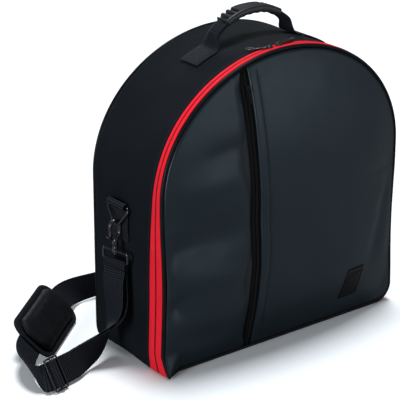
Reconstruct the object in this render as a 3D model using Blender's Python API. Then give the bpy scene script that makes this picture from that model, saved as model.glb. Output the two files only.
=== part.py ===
"""Drum bag: a soft case for a snare drum, with a zipped lid, a pocket, a handle and a shoulder strap.

Metres, +Z up. The origin is the middle of the base's underside, X runs to the right as seen from the front,
and Y runs to the back. Every size below can be set by itself. Pieces that fit together share their sizes.
"""
import math

import bmesh
import bpy
from mathutils import Matrix, Vector

# Whole bag
BAG_WIDTH = 0.420
BAG_HEIGHT = 0.425
SIDE_HEIGHT = 0.248
CORNER_RADIUS = 0.028
BODY_DEPTH = 0.157
PANEL_BULGE = 0.029
BULGE_POWER = 2.3
CLEARANCE = 0.0003
OVERRUN = 0.020

# Cloth, foam and piping
CLOTH = 0.0016
FOAM = 0.008
LINING = 0.001
POCKET_CLOTH = 0.0008
PANEL_FOAM = 0.010
PIPING_RADIUS = 0.0025

# Main zipper
TAPE_THICKNESS = 0.001
ARCH_TAPE = 0.0055
SIDE_TAPE_GROWTH = 0.0070
FLARE_TOP = 0.300
FLARE_BOTTOM = 0.120
SLIT = 0.0012
COIL = 0.0014
SLIDER_ROOM = 0.0075
SLIDER_LENGTH = 0.009
SLIDER_WIDTH = 0.0085
SLIDER_PLATE = 0.0016
SLIDER_STEM = 0.0006
SLIDER_PLAY = 0.0008
SLIDER_PITCH = 0.016
SLIDER_PARK = -0.012
BAIL_RADIUS = 0.0006
BAIL_SPAN = 0.0056
BAIL_RISE = 0.0037
PULL_LENGTH = 0.034
PULL_WIDTH = 0.0075
PULL_THICKNESS = 0.0012
PULL_EYE = 0.0038
PULL_EYE_WIDTH = 0.0042
PULL_BAR = 0.0012
LEFT_PULL_TURN = math.radians(154)
RIGHT_PULL_TURN = math.radians(13)

# Front pocket
SEAM_TOP_X = -0.074
SEAM_BASE_X = -0.063
SEAM_GAP = 0.012
POCKET_TAPE_WIDTH = 0.0112
POCKET_COIL_WIDTH = 0.003
POCKET_END_MARGIN = 0.016
POCKET_SLIDER_MARGIN = 0.016
POCKET_SLIDER_WIDTH = 0.007
POCKET_SLIDER_LENGTH = 0.009
POCKET_SLIDER_LIFT = 0.0008
POCKET_PULL_LENGTH = 0.020
POCKET_PULL_WIDTH = 0.005
PATCH_WIDTH = 0.034
PATCH_HEIGHT = 0.046
PATCH_SLANT = 0.012
PATCH_X = 0.120
PATCH_Z = 0.056
PATCH_THICKNESS = 0.001

# Carry handle
WEBBING_WIDTH = 0.038
WEBBING = 0.0013
HANDLE_HALF_SPAN = 0.062
HANDLE_FOOT_RISE = 0.0115
HANDLE_RISE = 0.0240
HANDLE_POWER = 2.4
HANDLE_WEB_WIDTH = 0.024
HANDLE_WEB = 0.0030
GRIP_HALF_SPAN = 0.046
GRIP_WIDTH = 0.030
GRIP_HEIGHT = 0.0145
GRIP_ROUND_SHARE = 0.42
LEFT_TAB_END = -0.104
RIGHT_TAB_END = 0.124
TAB_THICKNESS = 0.0026
FOOT_TIP_WIDTH = 0.001
FOOT_TIP_DROP = 0.0015

# Side rings and snap hooks
RING_Y = 0.013
RING_Z = 0.2235
RING_WIRE = 0.0017
RING_WIDTH = 0.0455
RING_CORNER = 0.003
RING_LENGTH = 0.0255
RING_TILT = math.radians(18)
RING_CORNER_SHARE = 0.16
RING_BEND_SHARE = 0.272
TAB_LENGTH = 0.050
TAB_LAP = 0.038
TAB_WRAP = math.radians(215)
HOOK_Y = 0.008
HOOK_WIRE = 0.0022
HOOK_HALF_EYE = 0.00785
HOOK_REACH = 0.0018
EYE_TO_BOSS = 0.0200
BOSS_RADIUS = 0.0042
BOSS_LENGTH = 0.0128
STEM_RADIUS = 0.0018
STEM_LENGTH = 0.0058
STEM_HEAD_RADIUS = 0.0030
STEM_HEAD = 0.0017
STEP_LENGTH = 0.0002
HOOK_TIP = 0.0035
GATE_THICKNESS = 0.0044
GATE_ARM = 0.0020
GATE_LENGTH = 0.0160
GATE_THUMB = 0.0050
LOOP_WIDTH = 0.0436
LOOP_HEIGHT = 0.0143
LOOP_WIRE = 0.0017
LOOP_CORNER = 0.0022
LOOP_YAW = math.radians(12)
STRAP_LEG = 0.0090
STRAP_RUN_IN = 0.0060

# Adjuster and shoulder pad
ADJUSTER_WIRE = 0.0015
ADJUSTER_PITCH = 0.0115
ADJUSTER_OUT = 0.1308
ADJUSTER_Y = -0.0172
ADJUSTER_Z = 0.0225
ADJUSTER_EDGE_SHARES = (-0.30, 0.42, 0.85)
ADJUSTER_SPREAD = 0.0415
ADJUSTER_CORNER = 0.002
PAD_OUT_X = 0.0976
PAD_BACK_Y = 0.0493
PAD_LOW_Z = 0.0032
PAD_TURN = math.radians(40)
PAD_LEAN = math.radians(43)
PAD_LENGTH = 0.153
PAD_WIDTH = 0.074
PAD_CORNER = 0.018
PAD_BASE = 0.003
PAD_CROWN = 0.009
PAD_RIM = 0.007
PAD_STRAP_RUN_OUT = 0.020
KEEPER_WIDTH = 0.022
KEEPER_INSET = 0.030
KEEPER_MARGIN = 0.0022
KEEPER_FOOT = 0.006

# The strap's way round the bag
STRAP_LIFT = 0.002
STRAP_BEHIND = 0.115
STRAP_RIGHT = 0.040
STRAP_TURN_OUT = 0.0226

# Shares of the way out, forward and down from the left hook to the adjuster, with the strap's upper edge
HANGING_SHARES = (
    ((0.00, 0.03, 0.11), (0.15, -0.98, 0.00)),
    ((-0.01, 0.05, 0.31), (0.10, -0.99, 0.05)),
    ((0.00, 0.09, 0.50), (0.00, -0.98, 0.20)),
    ((0.06, 0.11, 0.68), (-0.10, -0.87, 0.48)),
    ((0.18, 0.13, 0.83), (-0.20, -0.55, 0.80)),
    ((0.33, 0.19, 0.94), (-0.22, -0.15, 0.96)),
    ((0.51, 0.35, 0.99), (-0.25, 0.10, 0.96)),
    ((0.71, 0.68, 1.00), (-0.30, 0.30, 0.90)),
)
# Shares of the turn's reach out and down, then of the way from the adjuster to the pad
TURNING_SHARES = (
    ((0.82, 0.06, 0.00), (-0.12, 0.48, 0.87)),
    ((0.92, 0.12, 0.05), (-0.15, 0.42, 0.88)),
    ((1.00, 0.16, 0.17), (-0.30, 0.25, 0.90)),
    ((0.95, 0.12, 0.39), (-0.40, 0.25, 0.87)),
    ((0.73, 0.07, 0.67), (-0.45, 0.35, 0.80)),
)
# Shares of the bag's half width and of the strap's distance behind the bag
BEHIND_SHARES = (
    ((-0.80, 1.01), (-0.20, 0.25, 0.95)),
    ((-0.667, 1.013), (0.0, 0.0, 1.0)),
    ((-0.43, 0.96), (0.0, 0.0, 1.0)),
    ((0.00, 0.91), (0.0, 0.0, 1.0)),
    ((0.476, 0.89), (0.0, 0.0, 1.0)),
    ((0.81, 0.85), (0.0, 0.0, 1.0)),
    ((1.02, 0.71), (0.05, 0.05, 1.0)),
    ((1.133, 0.465), (0.40, 0.10, 0.90)),
    ((1.18, 0.204), (0.85, 0.10, 0.45)),
)
# Shares of the way in, forward and up from the floor on the right to the right hook
RISING_SHARES = (
    ((0.00, 0.00, 0.00), (1.0, 0.0, 0.05)),
    ((0.04, 0.35, 0.03), (1.0, 0.0, 0.0)),
    ((0.17, 0.61, 0.135), (1.0, 0.05, 0.0)),
    ((0.42, 0.77, 0.29), (0.95, 0.25, 0.0)),
    ((0.67, 0.89, 0.47), (0.78, 0.62, 0.0)),
    ((0.84, 0.96, 0.66), (0.45, 0.89, 0.0)),
    ((0.90, 0.99, 0.87), (0.26, 0.97, 0.0)),
)
# How far the return layer stands off the sliding layer on its way down, in strap turns
SPREAD_SHARES = (1.0, 1.0, 1.55, 1.75, 1.5, 1.1, 0.7, 0.45, 0.40, 0.40)
# Through the adjuster: shares of its pitch along the strap, then of the lift beside and over its bars
WEAVE_SHARES = (
    (-1.5, 1.0, 0.0),
    (-1.0, 1.0, 0.0),
    (-0.78, 0.9, 0.0),
    (-0.18, 0.0, 1.0),
    (0.18, 0.0, 1.0),
    (0.78, 0.9, 0.0),
    (1.0, 1.0, 0.0),
    (1.3, 1.1, 0.0),
)
RETURN_SHARES = ((-1.5, 1.1), (-1.0, 1.12), (-0.5, 0.55))
RETURN_WRAP = math.radians(280)
PAD_CROWN_SHARES = ((1.25, 0.0), (1.0, 0.30), (1.15, 0.62), (1.7, 0.88), (2.2, 1.0))
# The snap hook's neck: shares of the eye's half width, of the way down to the boss and of the boss's swelling
HOOK_NECK_SHARES = ((0.20, 0.88, 0.58), (0.72, 0.70, 0.165), (0.96, 0.50, 0.0), (1.0, 0.25, 0.0))
GATE_THUMB_SHARES = (0.50, 0.55, 0.60, 0.66)

# Counts
CORNER_STEPS = 4
SIDE_STEPS = 6
ARCH_STEPS = 36
BASE_STEPS = 4
PANEL_SHARES = (0.12, 0.34, 0.54, 0.70, 0.83, 0.93, 1.0)
WIRE_SIDES = 2
PATCH_ROWS = 5
SEAM_STEPS = 30
TURN_STEPS = 8
TAB_STEPS = 5
HANDLE_STEPS = 20
GRIP_STEPS = 14
GRIP_SIDES = 16
ROUND_SIDES = 20
STRAP_STEPS = 3

# Derived sizes
HALF_WIDTH = BAG_WIDTH / 2
ARCH_RISE = BAG_HEIGHT - SIDE_HEIGHT
FRONT_EDGE = -BODY_DEPTH / 2
BACK_EDGE = BODY_DEPTH / 2
PANEL_CENTRE_Z = BAG_HEIGHT / 2
PANEL_INSET = 2 * PIPING_RADIUS
SKIN_REACH = 1 - PANEL_INSET / HALF_WIDTH
LID_TAPE_FRONT = FRONT_EDGE + 2 * PIPING_RADIUS + CLEARANCE
SKIN_FRONT = FRONT_EDGE + CLEARANCE
SKIN_BACK = SKIN_FRONT + CLOTH
POCKET_FRONT = SKIN_BACK + CLEARANCE
POCKET_BACK = POCKET_FRONT + POCKET_CLOTH
LID_FOAM_FRONT = POCKET_BACK + CLEARANCE
LID_INSET = TAPE_THICKNESS + SLIDER_ROOM - CLEARANCE
GUSSET_BACK = BACK_EDGE - 2 * PIPING_RADIUS - CLEARANCE
FOAM_INSET = CLOTH + CLEARANCE
LINING_INSET = FOAM_INSET + FOAM + CLEARANCE
BACK_INSET = LINING_INSET + LINING + CLEARANCE
BACK_SKIN = BACK_EDGE - CLEARANCE - CLOTH
BACK_FOAM_FACE = BACK_SKIN - CLEARANCE
PAD_ALONG = Vector((math.cos(PAD_TURN), math.sin(PAD_TURN), 0))
PAD_UPHILL = Vector((-math.sin(PAD_TURN), math.cos(PAD_TURN), 0))
PAD_ACROSS = PAD_UPHILL * math.cos(PAD_LEAN) + Vector((0, 0, math.sin(PAD_LEAN)))
PAD_OUT = PAD_ALONG.cross(PAD_ACROSS)

# Colours: red, green, blue, roughness, metallic
FINISHES = {
    "coated_cloth": (0.020, 0.024, 0.030, 0.38, 0.0),
    "nylon": (0.014, 0.015, 0.019, 0.85, 0.0),
    "piping": (0.008, 0.008, 0.009, 0.35, 0.0),
    "zip_tape": (0.780, 0.020, 0.040, 0.70, 0.0),
    "zip_coil": (0.500, 0.010, 0.025, 0.45, 0.0),
    "foam": (0.060, 0.060, 0.065, 0.95, 0.0),
    "lining": (0.025, 0.025, 0.028, 0.80, 0.0),
    "webbing": (0.012, 0.012, 0.014, 0.80, 0.0),
    "rubber": (0.018, 0.018, 0.020, 0.50, 0.0),
    "black_metal": (0.025, 0.025, 0.027, 0.28, 1.0),
    "pad_cloth": (0.016, 0.017, 0.021, 0.75, 0.0),
}


def clear_scene():
    for item in list(bpy.data.objects):
        bpy.data.objects.remove(item, do_unlink=True)


def collection(name):
    made = bpy.data.collections.new(name)
    bpy.context.scene.collection.children.link(made)
    return made


def finish(name):
    """The material of a finish, made once."""
    known = bpy.data.materials.get(name)
    if known:
        return known
    red, green, blue, roughness, metallic = FINISHES[name]
    made = bpy.data.materials.new(name)
    made.use_nodes = True
    shader = made.node_tree.nodes["Principled BSDF"]
    shader.inputs["Base Color"].default_value = (red, green, blue, 1)
    shader.inputs["Roughness"].default_value = roughness
    shader.inputs["Metallic"].default_value = metallic
    return made


def add_object(name, mesh, finish_name, holder=None):
    """A named object from a mesh, in the bag's collection unless a cutter's is given."""
    item = bpy.data.objects.new(name, mesh)
    (holder or BAG).objects.link(item)
    mesh.materials.clear()
    mesh.materials.append(finish(finish_name))
    return item


def mesh_from(name, build):
    """A mesh whose faces point out, from a function that fills a bmesh."""
    bm = bmesh.new()
    build(bm)
    bmesh.ops.recalc_face_normals(bm, faces=bm.faces)
    mesh = bpy.data.meshes.new(name)
    bm.to_mesh(mesh)
    bm.free()
    return mesh


def loft(name, rings, finish_name, joined=False, twisted=False):
    """A solid through rings of points; joined closes it end to end, and otherwise both ends are capped.

    twisted halves each face, so that a strap that turns on its way keeps flat faces."""
    def build(bm):
        rows = [[bm.verts.new(point) for point in ring] for ring in rings]
        pairs = list(zip(rows, rows[1:]))
        if joined:
            pairs.append((rows[-1], rows[0]))
        for near, far in pairs:
            for side in range(len(near)):
                after = (side + 1) % len(near)
                bm.faces.new((near[side], near[after], far[after], far[side]))
        if not joined:
            bm.faces.new(rows[0])
            bm.faces.new(rows[-1])
        if twisted:
            bmesh.ops.triangulate(bm, faces=bm.faces)
    return add_object(name, mesh_from(name, build), finish_name)


def smooth(item, angle=math.radians(35)):
    item.data.shade_smooth()
    item.data.set_sharp_from_angle(angle=angle)
    return item


def block(name, size, place, finish_name, holder=None):
    """A box from the cube primitive, at a place."""
    mesh = mesh_from(name, lambda bm: bmesh.ops.create_cube(bm, size=1, matrix=Matrix.Diagonal((*size, 1))))
    item = add_object(name, mesh, finish_name, holder)
    item.location = place
    return item


def cylinder(name, radius, length, place, finish_name, holder=None):
    mesh = mesh_from(name, lambda bm: bmesh.ops.create_cone(
        bm, cap_ends=True, segments=ROUND_SIDES, radius1=radius, radius2=radius, depth=length))
    item = add_object(name, mesh, finish_name, holder)
    item.location = place
    return item


def wire(name, points, radius, finish_name, cyclic=False, radii=None):
    """A round wire through points, made a mesh so that other pieces can be cut by it or joined to it."""
    curve = bpy.data.curves.new(name, "CURVE")
    curve.dimensions = "3D"
    curve.bevel_depth = 1 if radii else radius
    curve.bevel_resolution = WIRE_SIDES
    curve.use_fill_caps = not cyclic
    spline = curve.splines.new("POLY")
    spline.points.add(len(points) - 1)
    for index, point in enumerate(points):
        spline.points[index].co = (*point, 1)
        spline.points[index].radius = radii[index] if radii else 1
    spline.use_cyclic_u = cyclic
    item = bpy.data.objects.new(name + "_path", curve)
    BAG.objects.link(item)
    mesh = bpy.data.meshes.new_from_object(item.evaluated_get(bpy.context.evaluated_depsgraph_get()))
    bpy.data.objects.remove(item, do_unlink=True)
    bm = bmesh.new()
    bm.from_mesh(mesh)
    bmesh.ops.remove_doubles(bm, verts=bm.verts, dist=0.000001)
    bmesh.ops.recalc_face_normals(bm, faces=bm.faces)
    bm.to_mesh(mesh)
    bm.free()
    mesh.name = name
    return smooth(add_object(name, mesh, finish_name))


def boolean(item, other, operation):
    """Joins or cuts a piece with another one, which becomes a hidden tool."""
    modifier = item.modifiers.new(operation.lower(), "BOOLEAN")
    modifier.operation = operation
    modifier.object = other
    for holder in list(other.users_collection):
        holder.objects.unlink(other)
    CUTTERS.objects.link(other)
    other.hide_render = True
    other.display_type = "WIRE"
    return item


def pivot(name, place, pieces):
    """An empty on a joint's axis, with the pieces that turn about it as its children."""
    empty = bpy.data.objects.new(name, None)
    empty.empty_display_size = PIPING_RADIUS
    empty.location = place
    BAG.objects.link(empty)
    for piece in pieces:
        piece.parent = empty
        piece.matrix_parent_inverse = Matrix.Translation(place).inverted()
    return empty


def outline(inset, whole):
    """The bag's outline in X and Z, drawn in by an inset, from the base's right end over the arch.

    whole adds the points of the base, so that the outline can close."""
    foot_x = HALF_WIDTH - CORNER_RADIUS
    radius = CORNER_RADIUS - inset
    corner = []
    for step in range(CORNER_STEPS + 1):
        angle = math.pi / 2 * (step / CORNER_STEPS - 1)
        corner.append((foot_x + radius * math.cos(angle), CORNER_RADIUS + radius * math.sin(angle)))
    side = [(HALF_WIDTH - inset, CORNER_RADIUS + (SIDE_HEIGHT - CORNER_RADIUS) * step / SIDE_STEPS)
            for step in range(1, SIDE_STEPS)]
    arch = []
    for step in range(ARCH_STEPS + 1):
        angle = math.pi * step / ARCH_STEPS
        normal = Vector((math.cos(angle) / HALF_WIDTH, math.sin(angle) / ARCH_RISE)).normalized()
        arch.append((HALF_WIDTH * math.cos(angle) - inset * normal.x,
                     SIDE_HEIGHT + ARCH_RISE * math.sin(angle) - inset * normal.y))
    right = corner + side
    left = [(-x, z) for x, z in reversed(right)]
    base = [(foot_x * (2 * step / BASE_STEPS - 1), inset) for step in range(1, BASE_STEPS)]
    return right + arch + left + (base if whole else [])


def flare(height):
    """How far the zipper line swings back behind its place on the arch, at a height on the sides."""
    share = min(max((FLARE_TOP - height) / (FLARE_TOP - FLARE_BOTTOM), 0), 1)
    return SIDE_TAPE_GROWTH * share * share * (3 - 2 * share)


def lid_tape_back(height):
    return LID_TAPE_FRONT + ARCH_TAPE + flare(height)


def body_tape_front(height):
    return lid_tape_back(height) + SLIT


def body_tape_back(height):
    return body_tape_front(height) + ARCH_TAPE + flare(height)


def band(name, section, finish_name, whole=True):
    """A strip round the outline; section gives its corners as inset and depth at a height."""
    heights = [z for _, z in outline(0, whole)]
    edges = {}
    rings = []
    for index, height in enumerate(heights):
        ring = []
        for inset, depth in section(height):
            if inset not in edges:
                edges[inset] = outline(inset, whole)
            x, z = edges[inset][index]
            ring.append((x, depth, z))
        rings.append(ring)
    return smooth(loft(name, rings, finish_name, joined=whole))


def rectangle(inset, thickness, front, back):
    """Corners of a flat strip's section, between two depths."""
    return [(inset, front), (inset, back), (inset + thickness, back), (inset + thickness, front)]


def piping(name, depth, finish_name="piping"):
    def section(height):
        angles = [math.tau * step / TURN_STEPS for step in range(TURN_STEPS)]
        radius = PIPING_RADIUS
        return [(radius * (1 - math.cos(angle)), depth + radius * math.sin(angle)) for angle in angles]
    return band(name, section, finish_name)


def panel_ring(inset, share, depth):
    """A ring of the front panel: the outline drawn in by an inset and shrunk about the panel's middle."""
    middle = PANEL_CENTRE_Z
    return [(x * share, depth, middle + (z - middle) * share) for x, z in outline(inset, True)]


def bulge(share):
    """How far the front panel stands out, at a share of the way from its middle to its edge."""
    return PANEL_BULGE * (1 - share ** BULGE_POWER)


def reach_share(inset, share):
    """The share of the way to the skin's edge that a ring of a panel with its own inset reaches."""
    return share * (1 - inset / HALF_WIDTH) / SKIN_REACH


def domed_plate(name, inset, front, back, finish_name, flat_back=False):
    """A panel that bulges to the front; a flat back gives a pad and a bulged back gives a skin."""
    def skin(depth, shares):
        return [panel_ring(inset, share, depth - bulge(reach_share(inset, share))) for share in shares]

    rings = skin(front, PANEL_SHARES)
    rings += [panel_ring(inset, 1, back)] if flat_back else skin(back, reversed(PANEL_SHARES))
    return smooth(loft(name, rings, finish_name))


def flat_plate(name, inset, front, back, finish_name):
    return loft(name, [panel_ring(inset, 1, front), panel_ring(inset, 1, back)], finish_name)


def edge_share(x, z):
    """The share of the way from the panel's middle to the outline at which a point of the panel lies."""
    drop = z - PANEL_CENTRE_Z
    shares = [abs(x) / HALF_WIDTH]
    if drop < 0:
        shares.append(-drop / PANEL_CENTRE_Z)
    else:
        # The ellipse of the arch, met along the line from the middle through the point
        a = (x / HALF_WIDTH) ** 2 + (drop / ARCH_RISE) ** 2
        b = 2 * drop * (PANEL_CENTRE_Z - SIDE_HEIGHT) / ARCH_RISE ** 2
        c = ((PANEL_CENTRE_Z - SIDE_HEIGHT) / ARCH_RISE) ** 2 - 1
        if a > 0:
            shares.append(2 * a / (-b + math.sqrt(b * b - 4 * a * c)))
    return max(shares)


def panel_depth(x, z, surface):
    """The depth of a bulged surface of the front panel at a point."""
    return surface - bulge(min(edge_share(x, z) / SKIN_REACH, 1))


def seam_x(z):
    """Where the pocket's zipper runs: slightly off the vertical."""
    return SEAM_BASE_X + (SEAM_TOP_X - SEAM_BASE_X) * z / BAG_HEIGHT


def ribbon_rings(path, width, thickness, lifts=None):
    """Sections of a flat strap along a path of places and width directions, each lifted off the path."""
    rings = []
    places = [Vector(place) for place, _ in path]
    for index, (_, across) in enumerate(path):
        before = places[max(index - 1, 0)]
        after = places[min(index + 1, len(places) - 1)]
        along = (after - before).normalized()
        normal = along.cross(Vector(across)).normalized()
        middle = places[index] + normal * (lifts[index] if lifts else 0)
        side = normal.cross(along) * (width / 2)
        out = normal * (thickness / 2)
        rings.append([middle + side + out, middle - side + out, middle - side - out, middle + side - out])
    return rings


def ribbon(name, path, width, thickness, finish_name, twisted=False):
    return loft(name, ribbon_rings(path, width, thickness), finish_name, twisted=twisted)


def gusset():
    """The side wall that runs round the bag: cloth, foam and lining, behind the zipper."""
    def shell(height):
        return rectangle(0, CLOTH, body_tape_back(height) + CLEARANCE, GUSSET_BACK)

    def foam(height):
        return rectangle(FOAM_INSET, FOAM, body_tape_front(height) + SLIDER_ROOM, GUSSET_BACK)

    def lining(height):
        return rectangle(LINING_INSET, LINING, body_tape_front(height) + SLIDER_ROOM, BACK_FOAM_FACE)

    band("gusset_shell", shell, "nylon")
    band("gusset_foam", foam, "foam")
    band("gusset_lining", lining, "lining")


def back():
    flat_plate("back_panel", PANEL_INSET, BACK_SKIN, BACK_SKIN + CLOTH, "nylon")
    flat_plate("back_foam", BACK_INSET, BACK_FOAM_FACE - PANEL_FOAM, BACK_FOAM_FACE, "foam")
    lining_face = BACK_FOAM_FACE - PANEL_FOAM - CLEARANCE
    flat_plate("back_lining", BACK_INSET, lining_face - LINING, lining_face, "lining")
    piping("back_piping", BACK_EDGE - PIPING_RADIUS)


def main_zipper():
    """Two tapes and two coils, one of each on the lid and on the body, and the cloth hinge along the base."""
    def lid_tape(height):
        return rectangle(0, TAPE_THICKNESS, LID_TAPE_FRONT, lid_tape_back(height))

    def body_tape(height):
        return rectangle(0, TAPE_THICKNESS, body_tape_front(height), body_tape_back(height))

    def lid_coil(height):
        edge = lid_tape_back(height)
        return rectangle(TAPE_THICKNESS + CLEARANCE, COIL, edge - COIL, edge)

    def body_coil(height):
        edge = body_tape_front(height)
        return rectangle(TAPE_THICKNESS + CLEARANCE, COIL, edge, edge + COIL)

    band("lid_zip_tape", lid_tape, "zip_tape", whole=False)
    band("body_zip_tape", body_tape, "zip_tape", whole=False)
    band("lid_zip_coil", lid_coil, "zip_coil", whole=False)
    band("body_zip_coil", body_coil, "zip_coil", whole=False)
    strip_width = 2 * (HALF_WIDTH - CORNER_RADIUS - CLEARANCE)
    strip_depth = body_tape_back(0) - LID_TAPE_FRONT
    block("hinge_strip", (strip_width, strip_depth, TAPE_THICKNESS),
          (0, LID_TAPE_FRONT + strip_depth / 2, TAPE_THICKNESS / 2), "nylon")


def seam_side(name, item, side):
    """Keeps the part of the front panel on one side of the pocket's zipper."""
    tilt = math.atan2(SEAM_TOP_X - SEAM_BASE_X, BAG_HEIGHT)
    reach = BAG_WIDTH + OVERRUN
    edge = (seam_x(PANEL_CENTRE_Z) + side * (SEAM_GAP / 2 + reach / 2), FRONT_EDGE, PANEL_CENTRE_Z)
    keeper = block(name + "_side", (reach, BAG_WIDTH, 2 * BAG_HEIGHT), edge, "nylon")
    keeper.rotation_euler = (0, tilt, 0)
    return boolean(item, keeper, "INTERSECT")


def lid():
    """The front lid: bulged skins on both sides of the pocket's zipper, pocket cloth, foam and lining."""
    for name, side in (("front_panel_left", -1), ("front_panel_right", 1)):
        skin = domed_plate(name, PANEL_INSET, SKIN_FRONT, SKIN_BACK, "coated_cloth")
        seam_side(name, skin, side)
    domed_plate("pocket_lining", PANEL_INSET + CLEARANCE, POCKET_FRONT, POCKET_BACK, "lining")
    lining_back = lid_tape_back(BAG_HEIGHT)
    foam_back = lining_back - LINING - CLEARANCE
    domed_plate("lid_foam", LID_INSET, LID_FOAM_FRONT, foam_back, "foam", flat_back=True)
    flat_plate("lid_lining", LID_INSET, lining_back - LINING, lining_back, "lining")
    piping("front_piping", FRONT_EDGE + PIPING_RADIUS)


def seam_path(surface, low, high, steps):
    """Places along the pocket's zipper on a bulged surface, with the width lying along the surface."""
    path = []
    reach = POCKET_TAPE_WIDTH / 2
    for step in range(steps + 1):
        z = low + (high - low) * step / steps
        x = seam_x(z)
        slope = panel_depth(x + reach, z, surface) - panel_depth(x - reach, z, surface)
        path.append(((x, panel_depth(x, z, surface), z), (2 * reach, slope, 0)))
    return path


def arch_height(x):
    """The height of the arch over a place across the bag."""
    return SIDE_HEIGHT + ARCH_RISE * math.sqrt(max(1 - (x / HALF_WIDTH) ** 2, 0))


def pocket_zipper():
    """The front pocket's tape and coil in the gap between the skins, and its slider and pull at the top."""
    top = arch_height(SEAM_TOP_X) - POCKET_END_MARGIN
    low = POCKET_END_MARGIN
    tape_surface = POCKET_FRONT - 2 * CLEARANCE - TAPE_THICKNESS / 2
    tape_path = seam_path(tape_surface, low, top, SEAM_STEPS)
    ribbon("pocket_zip_tape", tape_path, POCKET_TAPE_WIDTH, TAPE_THICKNESS, "piping")
    coil_surface = tape_surface - TAPE_THICKNESS / 2 - CLEARANCE - COIL / 2
    coil_path = seam_path(coil_surface, low, top, SEAM_STEPS)
    ribbon("pocket_zip_coil", coil_path, POCKET_COIL_WIDTH, COIL, "piping")
    seat = top - POCKET_SLIDER_MARGIN
    place = Vector((seam_x(seat), panel_depth(seam_x(seat), seat, coil_surface), seat))
    below = seat - POCKET_SLIDER_LENGTH
    fall = Vector((seam_x(below), panel_depth(seam_x(below), below, coil_surface), below)) - place
    slide = fall.normalized()
    out = slide.cross(Vector((1, 0, 0))).normalized()
    if out.y > 0:
        out.negate()
    lift = COIL / 2 + POCKET_SLIDER_LIFT
    slider("pocket_slider", "pocket_pull", place + out * lift, slide, out, None,
           (POCKET_SLIDER_LENGTH, POCKET_SLIDER_WIDTH), (POCKET_PULL_LENGTH, POCKET_PULL_WIDTH), 0)


def slider(name, pull_name, place, along, out, stem, size, pull_size, pull_turn):
    """A zip slider with its bail and its pull; stem is the distance to a plate behind the tape, if any."""
    across = out.cross(along).normalized()
    length, width = size
    body = block(name, (length, width, SLIDER_PLATE), (0, 0, SLIDER_PLATE / 2), "black_metal")
    if stem:
        reach = stem + SLIDER_PLATE
        stem_size = (length - SLIDER_PLATE, SLIDER_STEM, reach)
        behind = block(name + "_stem", stem_size, (0, 0, SLIDER_STEM - reach / 2), "black_metal")
        inner_size = (length, width - SLIDER_PLATE, SLIDER_PLATE)
        inner = block(name + "_inner", inner_size, (0, 0, -stem - SLIDER_PLATE / 2), "black_metal")
        boolean(boolean(body, behind, "UNION"), inner, "UNION")
    arch = [(BAIL_SPAN / 2 * math.cos(angle), 0, SLIDER_PLATE - BAIL_RADIUS + BAIL_RISE * math.sin(angle))
            for angle in (math.pi * step / TURN_STEPS for step in range(TURN_STEPS + 1))]
    bail = wire(name + "_bail", arch, BAIL_RADIUS, "black_metal")
    boolean(body, bail, "UNION")
    frame = Matrix.Translation(place) @ Matrix((along, across, out)).transposed().to_4x4()
    for item in [body] + [modifier.object for modifier in body.modifiers]:
        item.matrix_world = frame @ item.matrix_basis
    pull_length, pull_width = pull_size
    lift = SLIDER_PLATE + CLEARANCE + PULL_THICKNESS / 2
    pull = block(pull_name, (pull_length, pull_width, PULL_THICKNESS), (0, 0, 0), "black_metal")
    eye = block(pull_name + "_eye", (PULL_EYE, PULL_EYE_WIDTH, OVERRUN), (0, 0, 0), "black_metal")
    boolean(pull, eye, "DIFFERENCE")
    eye_place = -pull_length / 2 + PULL_BAR + PULL_EYE / 2
    # The pull's end bar lies under the bail, so the bail's leg stands in the eye
    bar_offset = BAIL_SPAN / 2 - PULL_EYE / 2 + BAIL_RADIUS + CLEARANCE
    turn = Matrix.Rotation(pull_turn, 4, "Z")
    centre = Matrix.Translation((0, 0, lift)) @ turn @ Matrix.Translation((-eye_place + bar_offset, 0, 0))
    pull.matrix_world = frame @ centre
    eye.matrix_world = frame @ centre @ Matrix.Translation((eye_place, 0, 0))
    return body, pull


def main_sliders():
    """The two sliders of the main zipper, side by side near the top of the arch, each with its pull."""
    stem = TAPE_THICKNESS + 2 * CLEARANCE + COIL + SLIDER_PLAY
    for name, pull_name, step, turn in (("main_slider_left", "main_pull_left", -1, LEFT_PULL_TURN),
                                        ("main_slider_right", "main_pull_right", 1, RIGHT_PULL_TURN)):
        x = SLIDER_PARK + step * SLIDER_PITCH / 2
        fall = ARCH_RISE * x / HALF_WIDTH ** 2 / math.sqrt(1 - (x / HALF_WIDTH) ** 2)
        slope = Vector((1, 0, -fall)).normalized()
        out = Vector((-slope.z, 0, slope.x))
        place = Vector((x, lid_tape_back(BAG_HEIGHT) + SLIT / 2, arch_height(x))) + out * CLEARANCE
        size = (SLIDER_LENGTH, SLIDER_WIDTH)
        slider(name, pull_name, place, slope, out, stem, size, (PULL_LENGTH, PULL_WIDTH), turn)


def patch():
    """A bare slanted patch low on the right of the front panel, which follows the panel's bulge."""
    back = SKIN_FRONT - 2 * CLEARANCE
    rings = []
    for row in range(PATCH_ROWS + 1):
        up = row / PATCH_ROWS - 0.5
        z = PATCH_Z + PATCH_HEIGHT * up
        columns = [PATCH_X + PATCH_SLANT * up + PATCH_WIDTH * (column / PATCH_ROWS - 0.5)
                   for column in range(PATCH_ROWS + 1)]
        ring = [(x, panel_depth(x, z, back), z) for x in columns]
        ring += [(x, panel_depth(x, z, back - PATCH_THICKNESS), z) for x in reversed(columns)]
        rings.append(ring)
    loft("front_patch", rings, "piping")


def arch_place(x, rise):
    """A place in the handle's plane, a rise above the arch's surface along its normal."""
    normal = Vector((x / HALF_WIDTH ** 2, (arch_height(x) - SIDE_HEIGHT) / ARCH_RISE ** 2)).normalized()
    return Vector((x + normal.x * rise, 0, arch_height(x) + normal.y * rise))


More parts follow.
